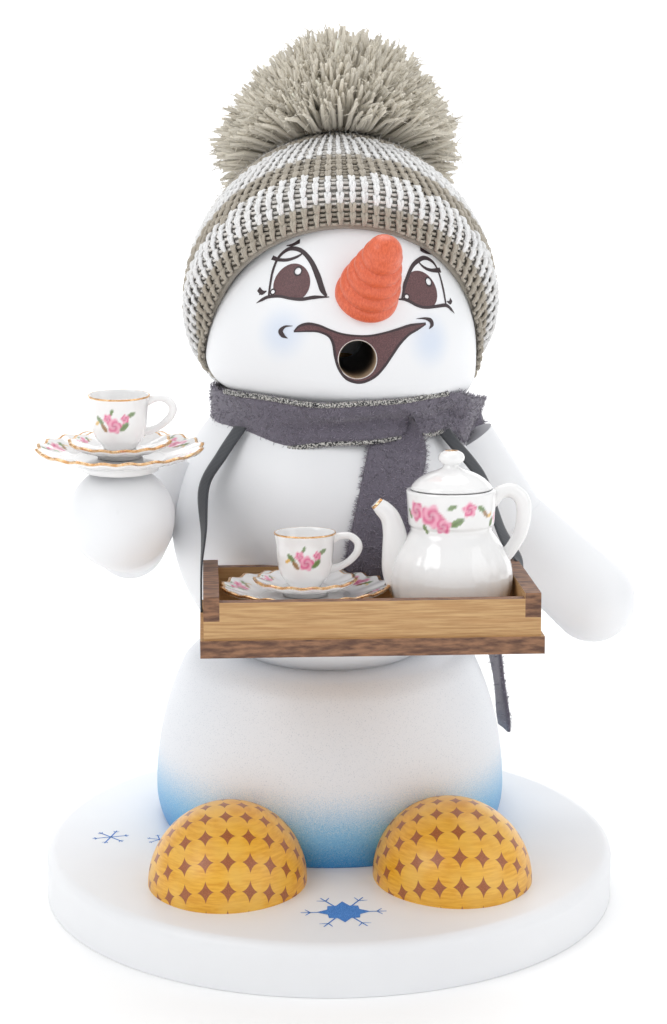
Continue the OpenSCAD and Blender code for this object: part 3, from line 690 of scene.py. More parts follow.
s = Shade("head_paint")
blush = None
for az, h in ((-33.0, 14.0), (33.2, 13.9)):
    at = on_face(np.array(deg([(az, h)])), 0.0)[0]
    d = s.step(s.vec("DISTANCE", s.co, tuple(at)), 6.4, 0.6)
    blush = d if blush is None else s.math("MAXIMUM", blush, d)
tone = s.mix(s.math("MULTIPLY", blush, 0.5), WHITE, rgb(192, 210, 236))
mouth_dir = TO_HEAD @ np.array([0.0, -1.0, 0.0])
mouth_mid = NECK + TO_HEAD @ np.array([0.0, 0.0, MOUTH_H])
rel = s.vec("SUBTRACT", s.co, tuple(mouth_mid))
along = s.vec("DOT_PRODUCT", rel, tuple(mouth_dir))
off = s.vec("LENGTH", s.vec("SUBTRACT", rel, s.vec("SCALE", tuple(mouth_dir), scale=along)))
bore = s.math("MULTIPLY", s.step(off, MOUTH_R + 0.1, MOUTH_R + 0.03), s.step(along, 2.0, 4.0))
# painted shade in the mouth bore: bare wood at its edge, near black deeper in
bore_shade = s.mix(s.step(along, 17.0, 25.2), rgb(34, 26, 22), rgb(188, 164, 138))
paint_finish(s, s.mix(bore, tone, bore_shade))
dress("head", s.m)


# ---------------------------------------------------------------- carrot nose, turned with five steps
NOSE_TURN = TO_HEAD @ turn("z", -81.0) @ turn("y", 45.5)
NOSE_AT = NECK + TO_HEAD @ np.array([1.3, -21.7, 22.0])
profile = [(0, -3.5), (2.5, -3.5), (2.5, -2.2), (5.0, -2.0)]
radii = [5.75, 5.45, 4.85, 4.2, 3.5]
for k, r in enumerate(radii):
    z0, length = -1.4 + 2.85 * k, 2.85
    nxt = radii[k + 1] if k < 4 else 3.2
    for q in np.linspace(0, 1, 9)[:-1]:
        profile.append((r + 0.15 + 0.5 * min(0.0, smooth(q / 0.22) - 1) + (nxt - r - 0.35) * max(0.0,
                (q - 0.4) / 0.6) ** 2.2, z0 + length * q))
profile += [(3.2 * math.cos(a), 12.6 + 2.9 * math.sin(a)) for a in np.linspace(0.12, math.pi / 2,
        10)[:-1]] + [(0, 15.5)]
v, f = lathe(profile, 96)
v = v @ NOSE_TURN.T + NOSE_AT
b = Build().add(v, f)
b.piece("nose_turned", [coral], "upper", "coral_stained_wood", ["nose"])


# ---------------------------------------------------------------- porcelain
GLAZE_WHITE = (0.9, 0.895, 0.89)
SPRIG_TONES = {"leaf": rgb(112, 138, 84), "twig": rgb(150, 112, 62), "bud": rgb(226, 186, 112)}


def painted(points, spots):
    """Colours of small transfer-printed flowers on flat points, in millimetres."""
    col = np.tile(np.array(GLAZE_WHITE), (len(points), 1))
    for kind, x, y, r, spin in spots:
        d = points - np.array([x, y])
        a = np.arctan2(d[:, 1], d[:, 0]) + spin
        q = np.linalg.norm(d, axis=1) / r
        if kind == "rose":
            edge = 1 + 0.13 * np.cos(5 * a)
            k = smooth((edge - q) * 4)[:, None]
            swirl = (0.5 + 0.5 * np.sin(9 * q + 2 * a + spin))[:, None]
            tone = np.array(rgb(222, 92, 140)) * (1 - swirl) + np.array(rgb(244, 172, 196)) * swirl
            tone = tone * (1 - 0.25 * smooth(1 - q * 2)[:, None])
        else:
            c, sn = math.cos(spin), math.sin(spin)
            u, w = (d[:, 0] * c + d[:, 1] * sn) / r, (-d[:, 0] * sn + d[:, 1] * c) / (r * 0.48)
            k = smooth((1 - u * u - w * w) * 2.5)[:, None]
            tone = np.array(SPRIG_TONES[kind]) * (0.8 + 0.4 * smooth(np.abs(w) * 2)[:, None])
        col = col * (1 - k) + tone * k
    return col


def spray(x, y, size):
    """One bunch: three roses with leaves."""
    return [("leaf", x - 1.5 * size, y + 0.1 * size, 0.65 * size, 2.4),
            ("twig", x - 1.0 * size, y - 0.65 * size, 0.6 * size, -0.9),
            ("leaf", x + 1.2 * size, y - 0.5 * size, 0.7 * size, 0.7),
            ("leaf", x + 1.95 * size, y + 0.75 * size, 0.55 * size, 0.4),
            ("bud", x - 1.95 * size, y - 0.25 * size, 0.4 * size, 0.4),
            ("leaf", x - 0.1 * size, y + 1.05 * size, 0.4 * size, 1.2),
            ("rose", x - 0.55 * size, y + 0.35 * size, 0.55 * size, 0.3),
            ("rose", x + 0.15 * size, y - 0.4 * size, 0.85 * size, 1.1),
            ("rose", x + 1.3 * size, y + 0.35 * size, 0.5 * size, 2.0)]


def polar(verts, r):
    """Flat points on a turned wall of radius r, unrolled from the front."""
    return np.stack([np.arctan2(verts[:, 0], -verts[:, 1]) * r, verts[:, 2]], 1)


def plate(b, r, well_r, foot_r, rim_h, well_h, place, lobes, seed, stand=0.0):
    """A scalloped plate on z = 0, with flowers round its rim and a gold edge."""
    foot = [(0, well_h - 0.9), (foot_r - 0.9, well_h - 0.9), (foot_r - 0.7, 0.1 - stand),
            (foot_r - 0.4, -stand), (foot_r, 0.1 - stand), (foot_r + 0.1, 0.6)]
    under = [(r0, z0 - 0.65) for r0,
            z0 in curve([(well_r, well_h), ((well_r + r) / 2, (well_h + rim_h) / 2 - 0.25),
            (r - 0.4, rim_h - 0.1)], 5)]
    edge = [(r - 0.15, rim_h - 0.45), (r, rim_h - 0.15), (r - 0.05, rim_h), (r - 0.35, rim_h)]
    top = curve([(r - 0.6, rim_h - 0.03), ((well_r + r) / 2, (well_h + rim_h) / 2),
            (well_r, well_h + 0.06), (well_r - 1.0, well_h)], 9)
    inner = [(q, well_h) for q in np.linspace(well_r - 1.4, 1.0, 8)] + [(0, well_h)]
    profile = foot + under + edge + [*top] + inner
    n = 192
    v, f = lathe(profile, n)
    rad = np.hypot(v[:, 0], v[:, 1])
    th = np.arctan2(v[:, 1], v[:, 0])
    near = smooth((rad - well_r) / (r - well_r))
    wave = np.cos(lobes * th)
    k = 1 + near * (0.018 * wave - 0.01)
    v = v * np.stack([k, k, np.ones(len(v))], 1)
    v[:, 2] += near * 0.18 * wave * (rim_h / 4.2)
    local = np.random.default_rng(seed)
    spots = []
    bunches = 6 if r > 12 else 4
    mid = (well_r + r) / 2 + 0.4
    for i in range(bunches):
        a = TAU * (i + 0.5) / bunches + local.uniform(-0.1, 0.1)
        for kind, x, y, q, sp in spray(0, 0, r * 0.1):
            spots.append((kind, (mid + y) * math.cos(a + x / mid), (mid + y) * math.sin(a + x / mid), q, sp
                    + a))
    col = painted(v[:, :2], spots)
    col[v[:, 2] < np.interp(rad, [p[0] for p in top[::-1]], [p[1] for p in top[::-1]]) - 0.35] = GLAZE_WHITE
    v = place(v)
    ring = len(foot) + len(under)
    quads = f[0]
    band = np.zeros(len(quads), bool)
    first = 1 + ring * n - n
    band[(quads[:, 0] >= first) & (quads[:, 0] < first + 4 * n)] = True
    b.add(v, [quads[~band], f[1]], 0, col)
    b.second(quads[band])


def cup(b, place, spots_at):
    """A small cup on z = 0 with its handle towards +X."""
    outer = curve([(2.9, 0.25), (3.3, 0.8), (4.2, 1.9), (4.75, 3.6), (4.95, 5.6), (5.1, 7.6), (5.42, 9.3)],
            8)
    rim = [(5.46, 9.5), (5.4, 9.6), (5.22, 9.6)]
    inner = curve([(5.1, 9.4), (4.6, 7.4), (4.4, 5.2), (4.1, 3.2), (3.2, 1.9), (1.6, 1.45)], 6)
    profile = [(0, 0.5), (2.2, 0.5), (2.4, 0.0), (2.8, 0.0)] + [*outer] + rim + [*inner] + [(0, 1.4)]
    n = 144
    v, f = lathe(profile, n)
    col = painted(polar(v, 5.0), spray(spots_at, 5.5, 1.7) + spray(spots_at + 15.0, 5.6, 1.5)
            + spray(spots_at - 15.0, 5.6, 1.5))
    rad = np.hypot(v[:, 0], v[:, 1])
    inside = np.zeros(len(v), bool)
    first_rim = 1 + n * (3 + len(outer))
    inside[first_rim + n:] = True
    col[inside] = GLAZE_WHITE
    v = place(v)
    quads = f[0]
    band = (quads[:, 0] >= first_rim - n) & (quads[:, 0] < first_rim + 2 * n)
    b.add(v, [quads[~band], f[1]], 0, col)
    b.second(quads[band])
    path = curve([(4.6, 0, 8.0), (6.2, 0, 8.75), (8.0, 0, 8.7), (9.3, 0, 7.5), (9.2, 0, 5.9),
            (7.8, 0, 4.3), (6.0, 0, 3.3), (4.2, 0, 2.9)], 7)
    rr = np.interp(np.linspace(0, 1, len(path)), [0, 0.2, 0.5, 0.8, 1], [0.75, 0.62, 0.72, 0.6, 0.8])
    v, f = tubes(path, rr, 16, ref=(0.0, 1.0, 0.0), squash=0.85)
    b.add(place(v), f, 0, GLAZE_WHITE)


TILT = turn("x", -TRAY_TILT)
floor_lo, floor_hi = box("tray_floor")
TRAY = np.array([(floor_lo[0] + floor_hi[0]) / 2, floor_lo[1], 59.6])
BOARD = 3.0


def on_tray(at, spin=0.0):
    r = turn("z", spin)
    return lambda v: (v @ r.T + np.array(at)) @ TILT.T + TRAY


def on_hand(at, spin=0.0):
    r = turn("z", spin)
    return lambda v: v @ r.T + np.array(at)


hp_lo, hp_hi = box("hand_plate")
PLATE_R = (hp_hi[0] - hp_lo[0]) / 2
hs_lo, hs_hi = box("hand_saucer")
SAUCER_R = (hs_hi[0] - hs_lo[0]) / 2
hand = np.array([(hp_lo[0] + hp_hi[0]) / 2, (hp_lo[1] + hp_hi[1]) / 2, hp_lo[2]])
WELL, SAUCER_WELL = 2.3, 1.6
pile = np.array([-10.7, 18.45, BOARD])
for label, seat, where, shift, stand in (("hand", on_hand, hand, -1.2, 0.0),
        ("tray", on_tray, pile, -0.4, 1.8)):
    up = np.array([0, 0, 1.0])
    where = where + up * stand
    b = Build()
    plate(b, PLATE_R, 8.6, 6.8, 4.2, WELL, seat(where, 8), 20, 3, stand)
    b.piece(label + "_plate_painted", [glaze, gold], "upper", "porcelain", [label + "_plate"])
    b = Build()
    plate(b, SAUCER_R, 4.6, 4.0, 3.0, SAUCER_WELL, seat(where + up * (WELL + 0.03), 20), 14, 4)
    b.piece(label + "_saucer_painted", [glaze, gold], "upper", "porcelain", [label + "_saucer"])
    b = Build()
    cup(b, seat(where + up * (WELL + SAUCER_WELL + 0.06), 2), shift)
    b.piece(label + "_cup_painted", [glaze, gold], "upper", "porcelain", [label + "_cup"])

pot_at = np.array([14.9, 17.5, BOARD])
POT_H = 22.8
place = on_tray(pot_at)
b = Build()
outer = curve([(7.0, 0.1), (8.4, 1.0), (10.2, 3.4), (10.9, 7.0), (10.3, 10.4), (8.6, 13.4), (7.3, 15.3),
        (7.15, 16.2)], 10)
collar = [(7.25, 16.5), (7.5, 16.7)] + [(7.55 + 0.02 * k, 17.0 + 0.33 * k) for k in range(17)]
collar += [(7.88, POT_H - 0.15), (7.7, POT_H), (7.1, POT_H), (6.7, POT_H - 0.3)]
inner = curve([(6.5, 16.4), (7.6, 13.2), (9.4, 9.6), (9.6, 6.6), (8.4, 3.4), (6.0, 1.5)], 5)
profile = [(0, 0.4), (6.2, 0.4), (6.5, 0.0)] + [*outer] + collar + [*inner] + [(0, 1.3)]
n = 168
v, f = lathe(profile, n)
th = np.arctan2(v[:, 1], v[:, 0])
flute = 1 + 0.004 * np.cos(24 * th) * smooth((v[:, 2] - 1.0) / 3) * smooth((15.0 - v[:, 2]) / 4)
v = v * np.stack([flute, flute, np.ones(len(v))], 1)
flowers = []
for dx in (-24.0, 0.0, 24.0):
    for kind, x, z, r, spin in (("leaf", -5.6, 16.6, 1.0, 1.9), ("leaf", 0.3, 18.0, 1.5, 0.5),
            ("leaf", -0.6, 20.7, 1.0, 0.4),
                                ("leaf", 4.9, 20.2, 1.1, 2.6), ("twig", 6.0, 19.2, 1.0, 2.4),
                                ("bud", 7.2, 18.9, 0.8, 0.4),
                                ("leaf", 7.9, 17.6, 1.1, 0.9), ("leaf", -9.6, 19.0, 1.2, 2.2),
                                ("rose", -7.6, 19.6, 1.9, 0.4),
                                ("rose", -4.3, 19.0, 2.2, 1.3), ("rose", -2.2, 17.4, 1.6, 2.2),
                                ("rose", 2.5, 20.2, 1.4, 0.9), ("rose", 9.6, 18.2, 1.1, 1.9)):
        flowers.append((kind, x + dx, z, r, spin))
col = painted(polar(v, 7.6), flowers)
first_rim = 1 + n * (2 + len(outer) + len(collar) - 4)
col[first_rim:] = GLAZE_WHITE
col[v[:, 2] < 14.6] = GLAZE_WHITE
b.add(place(v), f, 0, col)
spout = curve([(-5.2, 0, 4.4), (-7.6, 0, 5.8), (-9.2, 0, 8.6), (-9.7, 0, 12.2), (-10.0, 0, 15.4),
        (-10.9, 0, 18.2), (-13.2, 0, 20.6)], 7)
rr = np.interp(np.linspace(0, 1, len(spout)), [0, 0.17, 0.35, 0.55, 0.75, 0.93, 1],
        [3.8, 3.4, 2.9, 2.3, 1.85, 1.5, 1.1])
v, f = tubes(spout, rr, 24, ref=(0.0, 1.0, 0.0), squash=0.9)
tip = f[0][:, 0] >= (len(spout) - 2) * 24
b.add(place(v), [f[0][~tip], f[1], f[2]], 0, GLAZE_WHITE)
b.second(f[0][tip])
ear = curve([(6.8, 0, 20.4), (8.4, 0, 22.0), (10.6, 0, 22.4), (12.4, 0, 20.9), (12.8, 0, 18.2),
        (12.2, 0, 15.0), (10.8, 0, 12.4), (8.8, 0, 9.9)], 7)
rr = np.interp(np.linspace(0, 1, len(ear)), [0, 0.15, 0.5, 0.85, 1], [1.4, 1.25, 1.35, 1.15, 1.2])
v, f = tubes(ear, rr, 20, ref=(0.0, 1.0, 0.0))
b.add(place(v), f, 0, GLAZE_WHITE)
b.piece("teapot_painted", [glaze, gold], "upper", "porcelain", ["teapot_body"])

b = Build()
dome = curve([(7.0, 0.45), (6.75, 0.9), (5.7, 1.9), (4.1, 2.8), (2.4, 3.4), (1.6, 3.8), (1.35, 4.2)], 8)
knob = curve([(1.4, 4.4), (2.1, 4.9), (2.3, 5.6), (2.0, 6.3), (1.2, 6.8)], 6)
profile = [(0, -1.6), (5.9, -1.6), (5.95, -0.1), (5.95, 0.12), (7.1, 0.14),
        (7.25, 0.3)] + [*dome] + [*knob] + [(0, 6.95)]
v, f = lathe(profile, 128)
knob_top = v[f[1][:, 0], 2] > 6
b.add(on_tray(pot_at + np.array([0, 0, POT_H]))(v), [f[0], f[1][~knob_top]], 0, GLAZE_WHITE)
b.second(f[1][knob_top])
b.piece("teapot_lid_painted", [glaze, gold], "lid", "porcelain", ["teapot_lid"])


# ---------------------------------------------------------------- knitted hat
hat_lo, hat_hi = box("hat")
HAT_R, CROWN_R, OFFSET = 29.9, 34.2, 4.3
HAT = np.array([(hat_lo[0] + hat_hi[0]) / 2 + 0.5, 17.0, 109.7])
POM = np.array([3.0, 30.5, 139.5])
CROWN = unit(POM - HAT)
BACK = turn("x", 33.0) @ np.array([0.0, 1.0, 0.0])
UP = np.cross([1.0, 0, 0], BACK)
FACE_CUT = 8.4


def hat_reach(d):
    """Distance from the hat's middle to its surface, towards d."""
    c = np.clip(d @ CROWN, -1, 1)
    sn = np.sqrt(1 - c * c)
    return np.where(c > 0, -OFFSET * sn + np.sqrt(OFFSET ** 2 * sn ** 2 + CROWN_R ** 2 - OFFSET ** 2), HAT_R)


# ribs round the rim, row height, where the ribs stop short of the pompom, and a rib's length per radian
RIBS, PITCH, STOP, RIB_RADIUS = 74, 1.75, 17.0, 31.5
# the knit goes no lower than this
HEM_Z = 87.5
phi = TAU * np.arange(RIBS) / RIBS
lean = math.asin(FACE_CUT / HAT_R) - 0.03
start = -math.sin(lean) * BACK + math.cos(lean) * (np.cos(phi)[:, None] * np.array([1.0, 0, 0])
        + np.sin(phi)[:, None] * UP)
perp = unit(start - (start @ CROWN)[:, None] * CROWN)
ends = math.cos(math.radians(STOP)) * CROWN + math.sin(math.radians(STOP)) * perp
arcs = np.arccos(np.clip((start * ends).sum(1), -1, 1))


def rib_dir(i, t):
    w, a, e = arcs[i][:, None], start[i], ends[i]
    t = t[:, None]
    return unit((np.sin((1 - t) * w) * a + np.sin(t * w) * e) / np.sin(w))


def hat_skin(d, s, depth=0.0, clear=1.3):
    """A point on the knit towards d, s from the rim: the rim hugs the head."""
    p = HAT + d * (hat_reach(d) - depth - 3.4 * (1 - smooth(s / 8.0)))[:, None]
    q = (p - NECK) @ TO_HEAD
    rad = np.hypot(q[:, 0], q[:, 1])
    need = np.where((q[:, 2] > -1) & (q[:, 2] < 39), head_r(np.clip(q[:, 2], 0, 39)), 0.0) + clear
    grow = np.maximum(1, need / np.maximum(rad, 1.0))
    q[:, :2] *= grow[:, None]
    return q @ TO_HEAD.T + NECK


cols, rows_t, dist = [], [], []
for i in range(RIBS):
    length = arcs[i] * RIB_RADIUS
    n_rows = int(round(length / PITCH))
    t = (np.arange(n_rows) + 0.5) / n_rows
    cols.append(np.full(n_rows, i))
    rows_t.append(t)
    dist.append(t * length)
cols, rows_t, dist = np.concatenate(cols), np.concatenate(rows_t), np.concatenate(dist)
here = rib_dir(cols, rows_t)
ahead = rib_dir(cols, rows_t + 0.01)
beside = rib_dir((cols + 1) % RIBS, rows_t)
spot = hat_skin(here, dist)
along_v = unit(hat_skin(ahead, dist + 0.5) - spot)
next_spot = hat_skin(beside, dist)
gap = np.linalg.norm(next_spot - spot, axis=1)
out_v = unit(here)
side_v = unit(np.cross(along_v, out_v))
side_v *= np.sign((side_v * (next_spot - spot)).sum(1))[:, None]
pitch = np.array([arcs[i] * RIB_RADIUS / (cols == i).sum() for i in range(RIBS)])[cols]
hidden = spot[:, 2] < HEM_Z + 1.0
STRIPES = (3.6, 9.8, 16.0, 26.0, 32.0, 38.5)
zone = np.searchsorted(STRIPES, dist + rng.normal(0, 0.15, len(dist)))
is_white = zone % 2 == 1
TAUPE, CREAM = np.array(rgb(184, 175, 160)), np.array(rgb(254, 253, 252))
# painted shade: the white yarn of the purl bars and of the fabric, which lie down between the ribs, gets this
# darker tone
VALLEY_SHADE = np.array(rgb(226, 222, 216))


def stitch_paths(side, k=6):
    t = np.linspace(0, 1, k)
    w = np.minimum(gap, 2.6)[:, None] * (0.035 + 0.12 * smooth(t * 1.15))[None]
    along_s = pitch[:, None] * (-0.42 + 1.5 * t)[None]
    height = -0.95 + 0.95 * np.sin(np.pi * np.minimum(1, 0.12 + t * 0.88)) ** 0.7 - 0.25 * t
    wander = rng.normal(0, 0.05, (len(spot), 3))
    return (spot + wander)[:, None] + side * side_v[:, None] * w[..., None] + along_v[:,
            None] * along_s[..., None] + out_v[:, None] * height[None, :, None]


def bar_paths(shift, k=4):
    t = np.linspace(-1, 1, k)
    mid = (spot + next_spot) / 2 + along_v * (pitch * shift)[:, None]
    height = -0.85 + 0.25 * (1 - t * t)
    dip = rng.normal(0, 0.08, len(spot))
    return mid[:, None] + side_v[:, None] * (gap[:, None] * 0.34 * t[None])[..., None] + out_v[:,
            None] * (height[None] + dip[:, None])[..., None] + along_v[:, None] * (pitch[:, None] * 0.16
            * (t * t)[None])[..., None]


legs = [stitch_paths(1), stitch_paths(-1)]
bars = [bar_paths(-0.25), bar_paths(0.25)]
thin = np.minimum(1, gap / 2.0)[:, None]
thick = 0.37 * (0.8 + 0.25 * np.sin(np.pi * np.linspace(0, 1, 6)))[None] * thin
parts = {"hat_rim": zone == 0, "hat_white_band": zone == 1, "hat_taupe_band": zone == 2,
        "hat_white_top": zone == 3, "hat_crown": zone >= 4}
for name, mask in parts.items():
    mask = mask & ~hidden
    b = Build()
    tone = np.where(is_white[mask, None], CREAM, TAUPE)
    for leg in legs:
        v, f = tubes(leg[mask], thick[mask], 5, ref=out_v[mask])
        shade = tone * rng.normal(1, 0.05, (mask.sum(), 1))
        b.add(v, f, 0, np.repeat(np.clip(shade, 0, 0.97), 30, axis=0))
    for bar in bars:
        v, f = tubes(bar[mask], 0.34 * thin[mask], 4, ref=out_v[mask])
        # the bars lie in the valleys between ribs: their white and taupe are painted darker there as shade
        tone = np.where(is_white[mask, None], VALLEY_SHADE, TAUPE * 0.92) * rng.normal(1, 0.08, (mask.sum(), 1))
        b.add(v, f, 0, np.repeat(np.clip(tone, 0, 0.95), 16, axis=0))
    b.piece(name, [yarn], "upper", "knit_wool")

# the fabric behind the stitches, with a rolled hem; its yarn is painted darker, as shade, where it lies under
# the stitches
n_t, n_p = 60, 148
b = Build()
phi2 = np.arange(n_p) * RIBS / n_p
ii = phi2.astype(int) % RIBS
fr = (phi2 - phi2.astype(int))[:, None]
layers = []
ts = np.linspace(0.0, 0.98, n_t)
fabric_len = arcs[ii] * (1 - fr[:, 0]) * RIB_RADIUS + arcs[(ii + 1) % RIBS] * fr[:, 0] * RIB_RADIUS
for depth in (1.35, 2.5):
    sheet = []
    for t in ts + 0.02:
        d0 = rib_dir(ii, np.full(n_p, t))
        d1 = rib_dir((ii + 1) % RIBS, np.full(n_p, t))
        d = unit(d0 * (1 - fr) + d1 * fr)
        sheet.append(hat_skin(d, t * fabric_len, depth, 0.1 if depth > 2 else 0.3))
    layers.append(np.array(sheet))
hem = (layers[0][0] + layers[1][0]) / 2 - BACK * 0.1
rows = [layers[1][k] for k in range(n_t - 1, -1, -1)] + [hem] + [layers[0][k] for k in range(n_t)]
grid = np.array(rows)
idx, quads = ring_quads(len(grid), n_p)
grid = grid.reshape(-1, 3)
grid[:, 2] = np.maximum(grid[:, 2], HEM_Z)
arc_d = np.concatenate([np.repeat(ts[::-1], n_p), np.zeros(n_p), np.repeat(ts, n_p)])
length_at = np.tile(arcs[ii] * RIB_RADIUS, 2 * n_t + 1)
band_white = np.searchsorted(STRIPES, arc_d * length_at) % 2 == 1
# painted shade: the fabric is darker than the stitches lying on it
tint = np.where(band_white[:, None], VALLEY_SHADE * 0.8, TAUPE * 0.66)
b.add(grid, [quads, [idx[0][::-1].tolist()], [idx[-1].tolist()]], 0, tint)
b.piece("hat_fabric", [yarn], "upper", "knit_wool", ["hat"], tidy=True)

# loose fibres on the knit
pick = rng.choice(np.flatnonzero(~hidden), 5200)
root = spot[pick] + rng.normal(0, 0.35, (len(pick), 3)) + out_v[pick] * -0.25
tilt = unit(out_v[pick] * 0.7 + rng.normal(0, 0.6, (len(pick), 3)))
bend = rng.normal(0, 0.25, (len(pick), 3))
size = rng.uniform(0.35, 1.2, (len(pick), 1))
hair = np.stack([root, root + tilt * size * 0.5, root + tilt * size + bend * size], 1)
v, f = tubes(hair, np.array([0.035, 0.028, 0.012]), 3, ref=(0.31, 0.2, 0.9))
tone = np.where(is_white[pick, None], CREAM, TAUPE * 1.1)
Build().add(v, f, 0, np.repeat(tone, 9, axis=0)).piece("hat_fuzz", [yarn], "upper", "knit_wool")


# ---------------------------------------------------------------- pompom
POM_R = 21.6
PUFF = POM + np.array([0.2, 1.0, -1.4])
CLUMPS, STRANDS = 960, 5


def sphere_points(n):
    k = np.arange(n) + 0.5
    z = 1 - 2 * k / n
    a = math.pi * (1 + 5 ** 0.5) * k
    r = np.sqrt(1 - z * z)
    return np.stack([r * np.cos(a), r * np.sin(a), z], 1)


clump = unit(sphere_points(CLUMPS) + rng.normal(0, 0.05, (CLUMPS, 3)))
lump = 1 + 0.05 * np.sin(3.1 * clump[:, 0] + 1) + 0.04 * np.sin(4.3 * clump[:, 2]
        + 2.2) + 0.04 * np.sin(5.2 * clump[:, 1] + 0.4) + rng.normal(0, 0.022, CLUMPS)
dirs = unit(np.repeat(clump, STRANDS, axis=0) + rng.normal(0, 0.062, (CLUMPS * STRANDS, 3)))
reach_p = POM_R * np.repeat(lump, STRANDS) * rng.uniform(0.9, 1.01, CLUMPS * STRANDS)
k = 6
t = np.linspace(0.16, 1, k)
curl = rng.normal(0, 1, (len(dirs), 3))
curl -= (curl * dirs).sum(1)[:, None] * dirs
paths = PUFF + dirs[:, None] * (reach_p[:, None] * t[None])[..., None] + curl[:, None] * (2.3
        * np.sin(t * 2.6) * t)[None, :, None]
pull = np.repeat(clump, STRANDS, axis=0)[:, None] * (reach_p[:, None] * t)[..., None] + PUFF
paths = paths * 0.66 + pull * 0.34 - CROWN * (POM_R * 0.5 * (1 - t) ** 2)[None, :, None]
paths[..., 0] = PUFF[0] + (paths[..., 0] - PUFF[0]) * 1.1
rel = paths[:, -1] - HAT
free = np.linalg.norm(rel, axis=1) > hat_reach(unit(rel)) + 0.6
paths, dirs = paths[free], dirs[free]
# the hat's top edge stays clear in front: the tuft leans back from it
LEAN = np.array([0.0, 0.227, 0.974])
bins = np.clip(((spot[:, 0] + 35) / 2).astype(int), 0, 39)
crest = np.array([max([-1e9] + list((spot[bins == k] @ LEAN))) for k in range(40)])
at_bin = np.clip(((paths[..., 0] + 35) / 2).astype(int), 0, 39)
clear = (paths @ LEAN > crest[at_bin] + 0.3) | (paths[..., 1] > POM[1] + 2.0)
keep = clear[:, 3:].all(1)
paths, dirs = paths[keep], dirs[keep]
rel = paths - HAT
far = np.linalg.norm(rel, axis=2)
need = hat_reach(unit(rel).reshape(-1, 3)).reshape(far.shape) + 0.5
paths = HAT + unit(rel) * np.maximum(far, np.where(t[None] > 0.3, need, far))[..., None]
# painted shade: each strand darkens from its tip down to its root inside the ball
POM_LIGHT, POM_ROOT_SHADE = np.array(rgb(228, 221, 206)), np.array(rgb(134, 125, 109))
tone = rng.normal(1, 0.1, (len(paths), 1, 1))
fade = np.array([0.0, 0.12, 0.35, 0.62, 0.85, 1.0])[None, :, None]
colour = (POM_ROOT_SHADE * (1 - fade) + POM_LIGHT * fade) * tone
v, f = tubes(paths, np.array([0.34, 0.38, 0.42, 0.47, 0.5, 0.26]), 4, ref=(0.21, 0.35, 0.9))
b = Build()
b.add(v, f, 0, np.repeat(np.clip(colour, 0, 0.95).reshape(-1, 3), 4, axis=0))
b.piece("pompom_strands", [pompom_mat], "upper", "pompom_yarn", ["pompom", "pompom_tie"])
n_f = 9000
src = rng.integers(0, len(paths), n_f)
u = rng.uniform(0.3, 1.0, (n_f, 1))
a = paths[src, 3] * (1 - u) + paths[src, 5] * u
dv = unit(dirs[src] + rng.normal(0, 0.5, (n_f, 3)))
size = rng.uniform(0.9, 2.6, (n_f, 1))
bend = rng.normal(0, 0.22, (n_f, 3))
hair = np.stack([a - dv * 0.8, a + dv * size * 0.45, a + dv * size + bend * size], 1)
away = np.linalg.norm(hair[:, 2] - HAT, axis=1) > hat_reach(unit(hair[:, 2] - HAT)) + 0.3
v, f = tubes(hair[away], np.array([0.11, 0.09, 0.03]), 3, ref=(0.3, 0.2, 0.93))
Build().add(v, f, 0, np.tile(POM_LIGHT * 1.06, (len(v), 1))).piece("pompom_fuzz", [pompom_mat], "upper",
        "pompom_yarn")
# a dark ball inside the strands: painted shade between their roots
ico = bmesh.new()
bmesh.ops.create_icosphere(ico, subdivisions=4, radius=1.0)
cv = np.array([tuple(q.co) for q in ico.verts])
cf = np.array([[q.index for q in fc.verts] for fc in ico.faces])
ico.free()
cv = cv * (POM_R * 0.5 * (1 + 0.07 * np.sin(9 * cv[:, :1]) * np.sin(8 * cv[:, 1:2] + 1)
        * np.sin(10 * cv[:, 2:3])))
rel = cv + POM - HAT
low = np.linalg.norm(rel, axis=1) < hat_reach(unit(rel)) + 0.4
cv[low] = (HAT + unit(rel[low]) * (hat_reach(unit(rel[low])) + 0.4)[:, None]) - POM
Build().add(cv + POM, [cf], 0, POM_ROOT_SHADE * 0.8).piece("pompom_shade_core", [pompom_mat], "upper", "pompom_yarn",
        tidy=True)


# ---------------------------------------------------------------- scarf: one strip, wound once round the neck
BALL, BALL_R = np.array([AXIS[0], AXIS[1], 68.3]), 30.5
COLLAR = np.array([AXIS[0] + 0.8, AXIS[1], 90.0])
# where the strip starts round the neck, in degrees
COLLAR_FROM = -46
stations = []


def put(centre, across, half, buckle=0.0):
    """One station of the strip: its middle, its direction across, half its width and how much it buckles."""
    stations.append(np.concatenate([centre, unit(across), [half, buckle]]))


def band(a, r=None, h=None, half=4.6, lean=None, buckle=0.0):
    q = math.radians(a)
    h = 0.4 + 2.0 * math.cos(q + math.radians(60)) if h is None else h
    r = 23.3 + 0.45 * (1 + math.sin(q)) if r is None else r
    r -= 0.9 * math.exp(-((a - 190) / 40) ** 2)
    lean = 0.08 + 0.17 * math.cos(q + math.radians(70)) if lean is None else lean
    put(COLLAR + np.array([r * math.cos(q), r * math.sin(q), h]),
            [lean * math.cos(q), lean * math.sin(q), 1.0], half, buckle)


